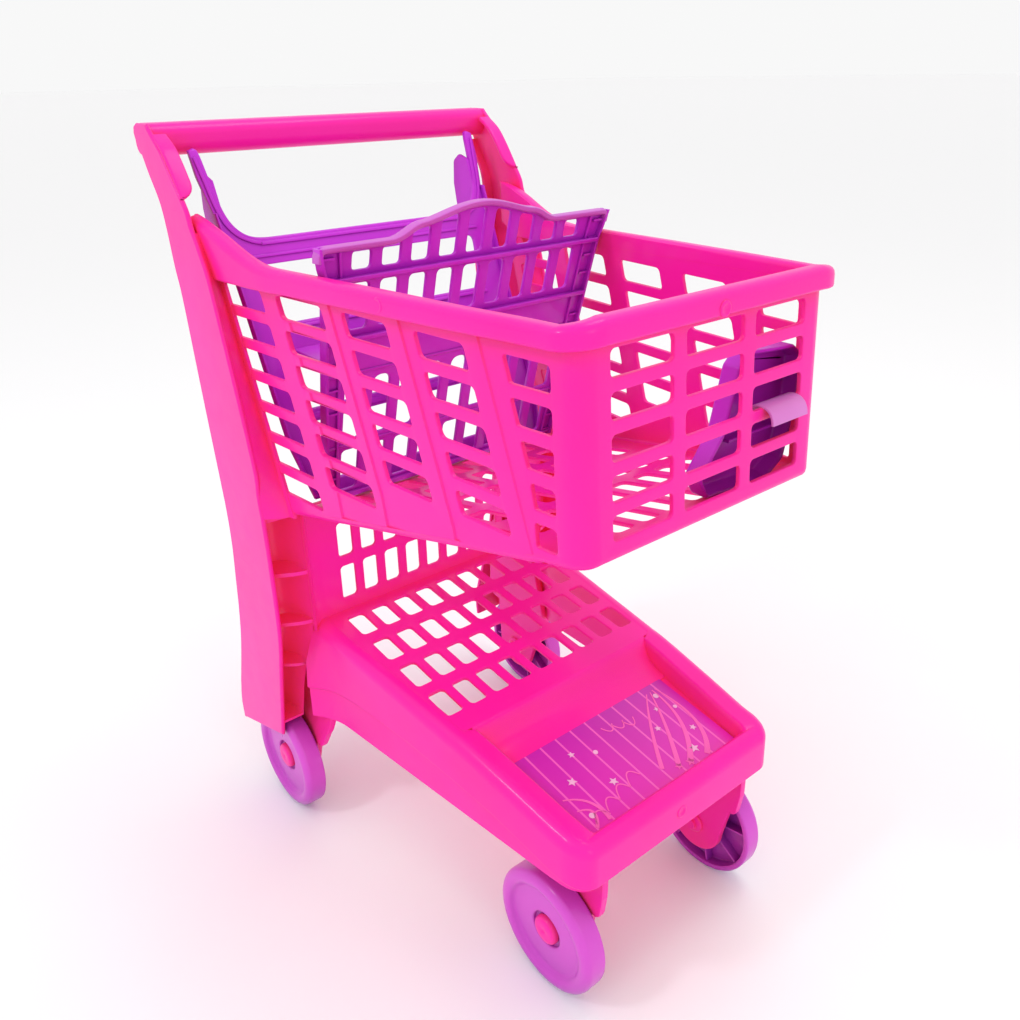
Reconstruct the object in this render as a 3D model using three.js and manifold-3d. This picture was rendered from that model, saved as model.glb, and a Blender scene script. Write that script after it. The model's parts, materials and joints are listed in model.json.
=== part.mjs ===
// Toy shopping cart, mm, +X forward (travel), +Y the cart's left, +Z up.
// Every panel is a flat moulded wall with slots; moving pieces are separate bodies.
import * as THREE from 'three';
import { mergeVertices } from 'three/addons/utils/BufferGeometryUtils.js';
import Module from 'manifold-3d';

const wasm = await Module();
wasm.setup();

// ---- driving dimensions -------------------------------------------------
const SHIFT_X = 62.73;           // puts the bounding box centre on x = 0
const GAP = 0.3;                 // clearance between pieces that touch
const WALL = 3.5;                // moulded wall thickness
const HANDLE_TOP = 560, HANDLE_BOTTOM = 538;
const SIDE_Y = 149.5;            // outside face of the side columns
const BASKET_W0 = 116.0;         // basket half width at x = 0
const BASKET_TAPER = 0.105;      // half width lost per mm of length
const RIM_Z = 476;               // basket rim, side walls
const FLOOR_Z0 = 322, FLOOR_SLOPE = 0.208;   // basket floor rises to the front
const FRONT_X0 = 165.2, FRONT_LEAN = 0.061;  // front wall plane
const SIDE_END_X = 122;          // side walls stop here, corner pieces follow
const FRONT_HALF = 84;           // front wall half width
const ROW_PITCH = 22, SLOT_H = 14.5, ROW_TOP_SIDE = 458.5, ROW_TOP_FRONT = 466;
const LAST_COL_X = [86, 91, 98, 105, 108, 109, 109.5];  // left edges of the slots next to the front corner
const BAR_LEAN = 0.33;           // lean of the upright bars in the side walls
const DECK_Z = 172, DECK_SLOPE = 0.12, DECK_X0 = -146.5, DECK_X1 = 18;
const COL_PITCH = 21.7, DECK_ROW_PITCH = 37;
const POCKET_X0 = 18.3, POCKET_X1 = 133;
const WHEEL_R = 46.2, WHEEL_W = 17;
const FRONT_AXLE_X = 97.7, REAR_AXLE_X = -185.3;
const FRONT_WHEEL_Y = 92.5, REAR_WHEEL_Y = 144.7;  // outside faces of the wheels
const CHANNEL_DEPTH = 24;         // depth of the channel in the foot of each column
const BORE_R = 4.6, PIN_R = 4.2, PIN_HEAD_R = 11;
const FORK_T = 6;
const GATE_X0 = -236, GATE_Z0 = 534, GATE_LEAN = 0.43, GATE_T = 5;
const FLAP_X0 = -129, FLAP_Z0 = 295, FLAP_LEAN = 54 / 197, FLAP_T = 5;
const SEAT_X0 = -172, SEAT_X1 = -112, SEAT_Z = 402, SEAT_T = 4;

// ---- colours ------------------------------------------------------------
const PINK = 0xff3cbe, PURPLE = 0xb01ebe, WHEELC = 0xd455cd, LILAC = 0xde82d4, PAPER = 0xe132be;

const group = new THREE.Group();
group.name = 'toy_shopping_cart';

// ---- helpers ------------------------------------------------------------
const clean = (g) => {
  g.deleteAttribute('normal');
  g.deleteAttribute('uv');
  g.clearGroups();
  const m = mergeVertices(g, 1e-3);
  const ix = m.getIndex(), keep = [];
  for (let i = 0; i < ix.count; i += 3) {
    const a = ix.getX(i), b = ix.getX(i + 1), c = ix.getX(i + 2);
    if (a !== b && b !== c && a !== c) keep.push(a, b, c);
  }
  m.setIndex(keep);
  return m;
};
const flip = (g) => {
  const ix = g.getIndex();
  for (let i = 0; i < ix.count; i += 3) {
    const b = ix.getX(i + 1);
    ix.setX(i + 1, ix.getX(i + 2));
    ix.setX(i + 2, b);
  }
};
const volume = (g) => {
  const p = g.getAttribute('position'), ix = g.getIndex();
  const a = new THREE.Vector3(), b = new THREE.Vector3(), c = new THREE.Vector3();
  let v = 0;
  for (let i = 0; i < ix.count; i += 3) {
    a.fromBufferAttribute(p, ix.getX(i));
    b.fromBufferAttribute(p, ix.getX(i + 1));
    c.fromBufferAttribute(p, ix.getX(i + 2));
    v += a.dot(b.cross(c)) / 6;
  }
  return v;
};
const toSolid = (g) => {
  const p = g.getAttribute('position'), ix = g.getIndex();
  return new wasm.Manifold(new wasm.Mesh({
    numProp: 3,
    vertProperties: new Float32Array(p.array),
    triVerts: new Uint32Array(ix.array),
  }));
};
const fromSolid = (s) => {
  const m = s.getMesh();
  const g = new THREE.BufferGeometry();
  g.setAttribute('position', new THREE.BufferAttribute(new Float32Array(m.vertProperties), 3));
  g.setIndex(new THREE.BufferAttribute(new Uint32Array(m.triVerts), 1));
  return mergeVertices(g, 1e-3);
};
const add = (name, geom, color, rough = 0.35) => {
  const g = geom;
  g.translate(SHIFT_X, 0, 0);
  if (volume(g) < 0) flip(g);
  const out = g.toNonIndexed();
  out.computeVertexNormals();
  const mesh = new THREE.Mesh(out, new THREE.MeshStandardMaterial({ color, roughness: rough, metalness: 0 }));
  mesh.name = name;
  group.add(mesh);
};
const chamfered = (u0, v0, u1, v1, c, lean = 0) => {
  // slot outline with cut corners; lean shifts the lower edge sideways
  const k = (u, v) => [u + lean * (v1 - v), v];
  return [k(u0 + c, v0), k(u1 - c, v0), k(u1, v0 + c), k(u1, v1 - c), k(u1 - c, v1), k(u0 + c, v1), k(u0, v1 - c), k(u0, v0 + c)];
};
const shapeOf = (pts, holes = []) => {
  const s = new THREE.Shape(pts.map(([u, v]) => new THREE.Vector2(u, v)));
  for (const h of holes) s.holes.push(new THREE.Path(h.map(([u, v]) => new THREE.Vector2(u, v))));
  return s;
};
// Extrude an outline by depth, then place every vertex with fn(u, v, w).
const slab = (pts, holes, depth, fn) => {
  const g = clean(new THREE.ExtrudeGeometry(shapeOf(pts, holes), { depth, bevelEnabled: false, steps: 1, curveSegments: 6 }));
  const p = g.getAttribute('position');
  for (let i = 0; i < p.count; i++) {
    const [x, y, z] = fn(p.getX(i), p.getY(i), p.getZ(i));
    p.setXYZ(i, x, y, z);
  }
  if (volume(g) < 0) flip(g);
  return g;
};
const arc = (cx, cy, r, a0, a1, n) => Array.from({ length: n + 1 }, (_, i) => {
  const a = (a0 + (a1 - a0) * i / n) * Math.PI / 180;
  return [cx + r * Math.cos(a), cy + r * Math.sin(a)];
});
const lathe = (profile, seg) => {
  const g = clean(new THREE.LatheGeometry(profile.map(([r, h]) => new THREE.Vector2(r, h)), seg));
  if (volume(g) < 0) flip(g);
  return g;
};
const xz = (pts, holes, y0, y1) => slab(pts, holes, y1 - y0, (u, v, w) => [u, y0 + w, v]);
const mirrorY = (g) => { const m = g.clone(); m.scale(1, -1, 1); flip(m); return m; };
const pair = (base, g, color, rough) => {
  add(base + '_left', mirrorY(g), color, rough);
  add(base + '_right', g, color, rough);
};

const wallY = (x) => BASKET_W0 - BASKET_TAPER * x;     // outside of the side wall
const frontX = (z) => FRONT_X0 - FRONT_LEAN * z;       // outside of the front wall
const floorZ = (x) => FLOOR_Z0 + FLOOR_SLOPE * x;
const gateX = (z) => GATE_X0 + GATE_LEAN * (GATE_Z0 - z);
const flapX = (z) => FLAP_X0 + FLAP_LEAN * (z - FLAP_Z0);
const deckZ = (x) => DECK_Z + DECK_SLOPE * (DECK_X1 - x);
const trayY = (x) => 98 + 0.075 * (120 - x);           // outside of the tray skirt

// ---- basket side walls --------------------------------------------------
const WALL_TOP = [[-213, 502], [-201, 499], [-176, 492], [-153, 484], [-134, 477.5], [-121, RIM_Z], [SIDE_END_X, RIM_Z]];
const WALL_REAR = [[-146, floorZ(-146)], [-163, 340], [-199, 450], [-208, 478]];
{
  const cols = [[-190, -141], [-121, -71], [-51, -8], [16, 57], [82, 114]];
  const holes = [];
  cols.forEach(([a, b], ci) => {
    for (let r = 0; r < 7; r++) {
      const top = ROW_TOP_SIDE - ROW_PITCH * r, bot = top - SLOT_H;
      const sh = (RIM_Z - 16 - top) * BAR_LEAN;
      let u0 = a + sh, u1 = b + sh;
      if (ci === 4) { u0 = LAST_COL_X[r]; u1 = 118.5; }
      if (bot < floorZ(u1 + BAR_LEAN * SLOT_H) + 7) continue;
      holes.push(ci === 4
        ? [[u0 + 2.6, bot], [u1 - 1.5, bot], [u1, bot + 1.5], [u1, top - 1.5], [u1 - 1.5, top], [u0 + 1.5, top], [u0, top - 1.5], [u0 + 1.1, bot + 1.5]]
        : chamfered(u0, bot, u1, top, 2, BAR_LEAN));
    }
  });
  const outline = [...WALL_REAR, ...WALL_TOP, [SIDE_END_X, floorZ(SIDE_END_X)]];
  pair('basket_side_wall', slab(outline, holes, WALL, (u, v, w) => [u, -(wallY(u) - w), v]), PINK);
}

// ---- basket front wall and corners --------------------------------------
{
  const zb = floorZ(140) - 1, zt = 484;
  const cols = [[-80, -34], [-24, 24], [34, 80]];
  const holes = [];
  for (const [a, b] of cols) for (let r = 0; r < 5; r++) {
    const top = ROW_TOP_FRONT - ROW_PITCH * r;
    holes.push(chamfered(a, top - SLOT_H, b, top, 2));
  }
  add('basket_front_wall', slab([[-FRONT_HALF, zb], [FRONT_HALF, zb], [FRONT_HALF, zt], [-FRONT_HALF, zt]], holes, WALL,
    (u, v, w) => [frontX(v) - w, u, v]), PINK);
  // rounded vertical corners
  const y1 = wallY(SIDE_END_X + GAP), n = 3;
  const corner = (z0, z1, off) => {
    const outer = [], inner = [];
    for (let i = 0; i <= n; i++) {
      const a = (i / n) * Math.PI / 2;
      outer.push([Math.sin(a), 1 - Math.cos(a)]);
      inner.push([Math.sin(a), 1 - Math.cos(a)]);
    }
    const place = (s, t, ins, z) => {
      const x0 = SIDE_END_X + GAP, X = frontX(z) + off - ins, ys = y1 + off - ins, yf = FRONT_HALF + GAP;
      return [x0 + (X - x0) * s, -(ys - (ys - yf) * t), z];
    };
    const pts = [...outer.map(([s, t]) => [s, t, 0]), ...inner.reverse().map(([s, t]) => [s, t, 1])];
    const g = slab([...pts.map(([s, t, k], i) => [k ? s * 10 : s * 20, k ? -10 + t * 10 : -20 + t * 20])], [], z1 - z0, (u, v, w) => [u, v, w]);
    // replace by exact positions
    const p = g.getAttribute('position');
    for (let i = 0; i < p.count; i++) {
      const u = p.getX(i), v = p.getY(i), w = p.getZ(i);
      let best = 0, bd = 1e9;
      pts.forEach(([s, t, k], j) => {
        const d = Math.hypot(u - (k ? s * 10 : s * 20), v - (k ? -10 + t * 10 : -20 + t * 20));
        if (d < bd) { bd = d; best = j; }
      });
      const [s, t, k] = pts[best];
      const [x, y, z] = place(s, t, k ? WALL : 0, z0 + w);
      p.setXYZ(i, x, y, z);
    }
    if (volume(g) < 0) flip(g);
    return g;
  };
  pair('basket_corner', corner(floorZ(SIDE_END_X), 480, 0), PINK);
}

// ---- rims ---------------------------------------------------------------
{
  const side = slab([[-134, 461.5], [SIDE_END_X + 8, 468], [SIDE_END_X + 8, 480], [-134, 477]], [], 8,
    (u, v, w) => [u, -(wallY(u) + GAP + w), v]);
  pair('basket_rim', side, PINK);
  const z0 = 470.5, z1 = 484.5;
  const front = slab([[-96, z0], [-88, z0], [88, z0], [96, z0], [96, z1], [88, z1], [-88, z1], [-96, z1]], [], 8, (u, v, w) => {
    const c = Math.abs(u) > 90 ? 8 : 0;
    return [frontX(v) + GAP + w - c * (w > 4 ? 0.6 : 0), u, v];
  });
  const boss = lathe([[0, 0], [7, 0], [7, 5], [5.5, 6.2], [0, 6.2]], 20);
  boss.rotateZ(-Math.PI / 2);
  boss.translate(frontX(478) + GAP + 7, 0, 477.5);
  add('basket_rim_front', fromSolid(toSolid(front).add(toSolid(boss))), PINK);
}

// ---- basket floor -------------------------------------------------------
{
  const hw = (x) => wallY(x) - WALL - GAP - 0.1;
  const x0 = -134, x1 = 134.5;
  const holes = [];
  for (let r = 0; r < 6; r++) for (let c = -4; c <= 4; c++) {
    const a = -122 + r * 42, b = a + 30;
    const y0 = c * 21.7 - 7, y1 = y0 + 14;
    if (Math.max(Math.abs(y0), Math.abs(y1)) > hw(b) - 8) continue;
    holes.push(chamfered(a, y0, b, y1, 2));
  }
  add('basket_floor', slab([[x0, -hw(x0)], [118, -hw(118)], [x1, -80], [x1, 80], [118, hw(118)], [x0, hw(x0)]], holes, 3,
    (u, v, w) => [u, v, floorZ(u) + 1 + w]), PINK);
}

// ---- side columns -------------------------------------------------------
const REAR_LINE = [[-268, 543], [-258, 526], [-246, 508], [-241, 490], [-237, 463], [-232, 441], [-224, 370], [-216, 304], [-213, 275], [-213, 246], [-217, 212], [-221, 181], [-228, 148], [-244, 98]];
const FRONT_LINE = [[-229, 542], [-218, 528], [-206, 514], [-199, 504], [-196, 495], [-186, 478], [-175, 450], [-148, 340], [-147, 311], [-145, 289], [-144, 263], [-144, 208], [-147, 179], [-154, 147], [-161, 113], [-167, 84]];
{
  const cap = [[-244, HANDLE_TOP - 4], [-248, HANDLE_TOP], [-270, HANDLE_TOP], [-275, HANDLE_TOP - 5], [-274, 551]];
  const outline = [...FRONT_LINE.slice().reverse(), ...cap, ...REAR_LINE, [-250, 72], [-249, 55]];
  pair('column_plate', xz(outline, [], -SIDE_Y, -SIDE_Y + WALL), PINK);
  const ribbon = (line, dx, y0, y1) => xz([...line, ...line.slice().reverse().map(([x, z]) => [x + dx, z])], [], y0, y1);
  const yo = -SIDE_Y + WALL + GAP;
  const rearLine = [...REAR_LINE.slice(1), [-250, 72], [-249, 55]];
  pair('column_rear_web', ribbon(rearLine.map(([x, z]) => [x, Math.min(z, 532)]), WALL, yo, -118), PINK);
  pair('column_upper_web', ribbon(FRONT_LINE.slice(4, 9).concat([[-147.5, 300]]).map(([x, z]) => [x - 0.2, z]), -WALL, yo, -138), PINK);
  pair('handle_gusset', ribbon([[-231, 537], [-224, 531], [-213, 520], [-205, 511.5]].map(([x, z]) => [x, z]), -WALL, yo, -130), PINK);
  // lower front face: a deep channel crossed by three curved ribs, closed at its foot
  const low = FRONT_LINE.slice(9).map(([x, z]) => [x - CHANNEL_DEPTH, z]);
  low[0] = [-145 - CHANNEL_DEPTH, 285];
  low[low.length - 1] = [-165 - CHANNEL_DEPTH, 96];
  let web = toSolid(ribbon(low, -WALL, yo, -128));
  for (const [xf, z] of [[-144.6, 237.5], [-146.4, 192.5], [-153.8, 151.5], [-165.4, 96.1]]) {
    const k = z < 100 ? 0.15 : 1;
    const rib = slab([[xf, -128], [xf - 3 * k, -133], [xf - 9 * k, -138], [xf - 15 * k, -142], [xf - 19 * k, yo], [xf - CHANNEL_DEPTH - 1.5, yo], [xf - CHANNEL_DEPTH - 1.5, -128]], [], 3, (u, v, w) => [u, v, z + w]);
    web = web.add(toSolid(rib));
  }
  pair('column_front_web', fromSolid(web), PINK);
}

// ---- handle -------------------------------------------------------------
{
  const r = 7, x0 = -274, x1 = -246, z0 = HANDLE_BOTTOM, z1 = HANDLE_TOP;
  const pts = [...arc(x1 - r, z1 - r, r, 0, 90, 4), ...arc(x0 + r, z1 - r, r, 90, 180, 4), ...arc(x0 + r, z0 + r, r, 180, 270, 4), ...arc(x1 - r, z0 + r, r, 270, 360, 4)];
  add('handle_bar', xz(pts, [], -SIDE_Y + WALL + GAP, SIDE_Y - WALL - GAP), PINK);
}

// ---- back panel under the basket ----------------------------------------
{
  const holes = [];
  for (let c = -4; c <= 4; c++) for (const [a, b] of [[202, 231], [240, 269]]) {
    holes.push(chamfered(c * 20.7 - 6.5, a, c * 20.7 + 6.5, b, 2));
  }
  add('back_panel', slab([[-113, 188], [113, 188], [113, 289], [-113, 289]], holes, WALL, (u, v, w) => [-150 + w - 0.3, u, v]), PINK);
  const curve = arc(-160, -113.3, 10, 90, 0, 4);
  const inner = arc(-160, -113.3, 6.5, 0, 90, 4);
  pair('back_corner', slab([...curve, ...inner].map(([x, y]) => [x, y]), [], 101, (u, v, w) => [u, v - 10, 188 + w]), PINK);
}

// ---- lower tray ---------------------------------------------------------
{
  const inY = (x) => trayY(x) - WALL - GAP;
  const holes = [];
  for (let r = 0; r < 4; r++) for (let c = -4; c <= 4; c++) {
    const a = -137 + r * DECK_ROW_PITCH, y0 = c * COL_PITCH - 7;
    holes.push(chamfered(a, y0, a + 26, y0 + 14, 2));
  }
  add('tray_deck', slab([[DECK_X0, -inY(DECK_X0)], [DECK_X1, -inY(DECK_X1)], [DECK_X1, inY(DECK_X1)], [DECK_X0, inY(DECK_X0)]], holes, 3,
    (u, v, w) => [u, v, deckZ(u) - w]), PINK);
  const top = [[DECK_X0, deckZ(DECK_X0)], [-60, deckZ(-60) - 0.3], [0, 172.5], [30, 169], [80, 161], [118, 152]];
  pair('tray_skirt', slab([[DECK_X0, 103], [-40, 108], [118, 114], ...top.slice().reverse()], [], WALL,
    (u, v, w) => [u, -(trayY(u) - w), v]), PINK);
  // nose: rounded ends wrap into the sides
  const nose = slab([[-82, 117], [82, 117], [82, 149], [-82, 149]], [], WALL, (u, v, w) => [140 - w, u, v]);
  const boss = lathe([[0, 0], [11, 0], [11, 4], [9.5, 5.4], [0, 5.4]], 24);
  boss.rotateZ(-Math.PI / 2);
  boss.translate(139, 0, 135);
  add('tray_nose', fromSolid(toSolid(nose).add(toSolid(boss))), PINK);
  const n = 5, x0 = 118.3, pts = [];
  for (let i = 0; i <= n; i++) { const a = i / n * Math.PI / 2; pts.push([x0 + (140 - x0) * Math.sin(a), -(trayY(x0) - (trayY(x0) - 82.3) * (1 - Math.cos(a)))]); }
  for (let i = n; i >= 0; i--) { const a = i / n * Math.PI / 2; pts.push([x0 + (140 - WALL - x0) * Math.sin(a), -(trayY(x0) - WALL - (trayY(x0) - WALL - 82.3) * (1 - Math.cos(a)))]); }
  pair('tray_corner', slab(pts, [], 34, (u, v, w) => [u, v, 116 + w]), PINK);
  // pocket: rear step, floor
  const pf = (x) => 152 - 0.16 * (x - 49);
  add('pocket_floor', slab([[24, -88], [118, -84], [134.5, -74], [134.5, 74], [118, 84], [24, 88]], [], 3,
    (u, v, w) => [u, v, pf(u) - 0.7 - w]), PINK);
  add('pocket_step', slab([[-92, 153], [92, 153], [92, 171.5], [-92, 171.5]], [], WALL,
    (u, v, w) => [DECK_X1 + 0.4 + w, u, v]), PINK);
  pair('pocket_side', slab([[22.5, -100], [117.5, -93.5], [117.5, -85], [22.5, -89]], [], 4,
    (u, v, w) => [u, v, 167 - 0.16 * (u - 22.5) - w]), PINK);
  add('pocket_label', slab([[49, -69], [124, -73], [124, 73], [49, 69]], [], 0.8,
    (u, v, w) => [u, v, pf(u) - 0.4 + w]), PAPER, 0.5);
}

// ---- wheel legs ---------------------------------------------------------
{
  const y0 = -(FRONT_WHEEL_Y - WHEEL_W) + 1.2, r = 24;
  const holeAt = (x) => arc(x, WHEEL_R, BORE_R, 0, 337.5, 15);
  const front = [...arc(FRONT_AXLE_X, WHEEL_R, r, 180, 360, 10), [134, 76], [137, 97], [137, 112], [60, 106], [68, 84]];
  pair('fork_front', xz(front, [holeAt(FRONT_AXLE_X)], y0, y0 + FORK_T), PINK);
  const y1 = -(REAR_WHEEL_Y - WHEEL_W) + 1.2;
  const rear = [...arc(REAR_AXLE_X, WHEEL_R, r, 180, 335, 9), [-144, 71], [-133, 92], [-128, 117], [-134, 150], [-149, 182], [-149, 186], [-207, 186], [-212, 150], [-215, 95]];
  pair('fork_rear', xz(rear, [holeAt(REAR_AXLE_X)], y1, y1 + FORK_T), PINK);
}

// ---- wheels, pins and clips ---------------------------------------------
{
  // axis along Y; height 0 is the outside face, WHEEL_W the inside face
  const body = [
    [BORE_R, 6.5], [12.5, 6.5], [13.5, 4.2], [33, 4.2], [35, 1.6], [37, 0.4], [41, 0], [44, 0.9], [WHEEL_R, 3],
    [WHEEL_R, WHEEL_W - 1], [WHEEL_R - 1, WHEEL_W], [WHEEL_R - 4.5, WHEEL_W], [WHEEL_R - 4.5, 8], [12, 8],
    [10.5, WHEEL_W - 1], [BORE_R, WHEEL_W - 1], [BORE_R, 6.5],
  ];
  const make = () => {
    let w = toSolid(lathe(body, 32));
    for (let i = 0; i < 8; i++) {
      const a = i / 8 * Math.PI * 2;
      const g = clean(new THREE.BoxGeometry(WHEEL_R - 14, 7.5, 2.4));
      g.translate((WHEEL_R + 8) / 2, 11.2, 0);
      g.rotateY(a);
      w = w.add(toSolid(g));
    }
    return fromSolid(w);
  };
  const pin = (len) => lathe([[0, -1.2], [6, -0.6], [9.4, 1.2], [PIN_HEAD_R, 3.4], [PIN_HEAD_R, 4.2], [PIN_HEAD_R - 0.4, 6.1], [PIN_R, 6.1], [PIN_R, len], [0, len]], 18);
  const clip = () => lathe([[PIN_R + GAP, 0], [8.5, 0], [8.5, 3], [6.5, 4.5], [PIN_R + GAP, 4.5], [PIN_R + GAP, 0]], 16);
  const place = (nm, x, yOut) => {
    // right side: height axis +Y points inboard from the outside face
    const w = make(); w.translate(x, -yOut, WHEEL_R);
    const p = pin(WHEEL_W + 1.2 + FORK_T + 5); p.translate(x, -yOut, WHEEL_R);
    const c = clip(); c.translate(x, -yOut + WHEEL_W + 1.2 + FORK_T + 0.3, WHEEL_R);
    pair(`wheel_${nm}`, w, WHEELC);
    pair(`axle_pin_${nm}`, p, PINK);
    pair(`axle_clip_${nm}`, c, PINK);
  };
  place('front', FRONT_AXLE_X, FRONT_WHEEL_Y);
  place('rear', REAR_AXLE_X, REAR_WHEEL_Y);
}

// ---- rear gate ----------------------------------------------------------
{
  const L = [[-109, 300.5], [-117, 340], [-119, 440], [-121, 500], [-125, 527], [-125, 541], [-117, 541], [-115, 514], [-113, 500], [-109, 490], [-103, 483], [-95, 480]];
  const outline = [...L.slice().reverse(), ...L.map(([y, z]) => [-y, z])];
  const holes = [
    [[-92, 424], [-96, 428], [-98, 460], [-94, 464], [94, 464], [98, 460], [96, 428], [92, 424]],
    ...[-1, 1].map((s) => {
      const a = [[6, 362], [96, 362], [98, 364], [98, 380], [94, 390], [85, 397], [17, 397], [8, 390], [4, 380], [4, 364]];
      return a.map(([y, z]) => [s * y, z]);
    }),
    ...[-1, 1].map((s) => [[6, 311], [92, 311], [94, 313], [96, 350], [94, 352], [6, 352], [4, 350], [4, 313]].map(([y, z]) => [s * y, z])),
  ];
  const plate = slab(outline, holes, GATE_T, (u, v, w) => [gateX(v) - w, u, v]);
  // side flanges that reach back beside the top bar
  let gate = toSolid(plate);
  for (const sgn of [-1, 1]) {
    const fl = [[gateX(480) - 2, 480], [gateX(500) - 2, 500], [gateX(521) - 2, 521], [gateX(521) - 12, 524.5], [-250, 519], [-251, 500], [-247, 480]];
    gate = gate.add(toSolid(xz(fl, [], sgn > 0 ? 113.4 : -116.4, sgn > 0 ? 116.4 : -113.4)));
  }
  add('rear_gate', fromSolid(gate), PURPLE);
  // groove strip along the top bar and the seat-level ledge
  add('gate_ledge', slab([[-94, 401], [94, 401], [94, 419], [-94, 419]], [], 4, (u, v, w) => [gateX(v) - GATE_T - GAP - w, u, v]), PURPLE);
  pair('gate_hinge_pin', (() => { const g = lathe([[0, 0], [3.5, 0], [3.5, 5], [0, 5]], 16); g.translate(-238.5, -130.4, 534); return g; })(), PURPLE);
}

// ---- seat front flap ----------------------------------------------------
{
  // wavy top edge: a raised middle between two level shoulders
  const flapTop = (y) => {
    const a = Math.abs(y);
    return a < 44 ? 503 + 8 * Math.cos(a / 44 * Math.PI / 2) ** 2
      : a < 66 ? 503 - 9 * Math.sin((a - 44) / 22 * Math.PI / 2) : 494 - 1.2 * Math.sin((a - 66) / 58 * Math.PI);
  };
  const top = [];
  for (let i = 0; i <= 24; i++) {
    const y = 124 - i * (248 / 24);
    top.push([y, flapTop(y)]);
  }
  const outline = [[-110, 301.5], [110, 301.5], [116, 440], [117, 475], [117, 481], [124, 481], ...top, [-124, 481], [-117, 481], [-117, 475], [-116, 440]];
  const holes = [];
  for (let c = -4; c <= 4; c++) {
    const y = c * 22.4;
    const tl = flapTop(y - 7) - 5.5, tr = flapTop(y + 7) - 5.5;
    holes.push([[y - 5, 476], [y + 5, 476], [y + 7, 478], [y + 7, tr - 2], [y + 5, tr], [y - 5, tl], [y - 7, tl - 2], [y - 7, 478]]);
    holes.push(chamfered(y - 7, 437, y + 7, 467, 2));
    holes.push([[y - 5, 352], [y + 5, 352], [y + 7, 354], [y + 7, 391.5], [y + 4, 397], [y - 4, 397], [y - 7, 391.5], [y - 7, 354]]);
    holes.push(chamfered(y - 7, 309, y + 7, 343, 2));
  }
  add('seat_flap', slab(outline, holes, FLAP_T, (u, v, w) => [flapX(v) + w, u, v]), PURPLE);
  add('flap_rib_upper', slab([[-112, 469.5], [112, 469.5], [112, 473.5], [-112, 473.5]], [], 5, (u, v, w) => [flapX(v) + FLAP_T + GAP + w, u, v]), PURPLE);
  add('flap_rib_lower', slab([[-112, 427], [112, 427], [112, 431], [-112, 431]], [], 5, (u, v, w) => [flapX(v) + FLAP_T + GAP + w, u, v]), PURPLE);
}

// ---- seat pan -----------------------------------------------------------
add('seat_pan', slab([[SEAT_X0, -96], [SEAT_X1, -96], [SEAT_X1, 96], [SEAT_X0, 96]], [
  chamfered(-160, -70, -124, -20, 4), chamfered(-160, 20, -124, 70, 4),
], SEAT_T, (u, v, w) => [u, v, SEAT_Z + w]), PURPLE);

// ---- accessory box hung on the front wall -------------------------------
{
  const r = 4, hw = 29, hh = 36;
  const pts = [...arc(hw - r, hh - r, r, 0, 90, 3), ...arc(-hw + r, hh - r, r, 90, 180, 3), ...arc(-hw + r, -hh + r, r, 180, 270, 3), ...arc(hw - r, -hh + r, r, 270, 360, 3)];
  const t = 14 * Math.PI / 180;
  add('accessory_box', slab(pts, [], 22, (u, v, w) => [106 + w, 57 + u * Math.cos(t) - v * Math.sin(t) * -1, 397 + u * -Math.sin(t) + v * Math.cos(t)]), PURPLE);
  const hook = [[128.4, 396], [131, 396], [131, 407.2], [133.6, 408.6], [144, 408.2], [147.6, 405.2], [149.4, 395], [151.6, 395.6], [150, 406.4], [145.6, 410.6], [133, 411], [128.4, 408.8]];
  add('accessory_hook', xz(hook, [], 46, 74), LILAC);
}

export default group;
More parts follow.
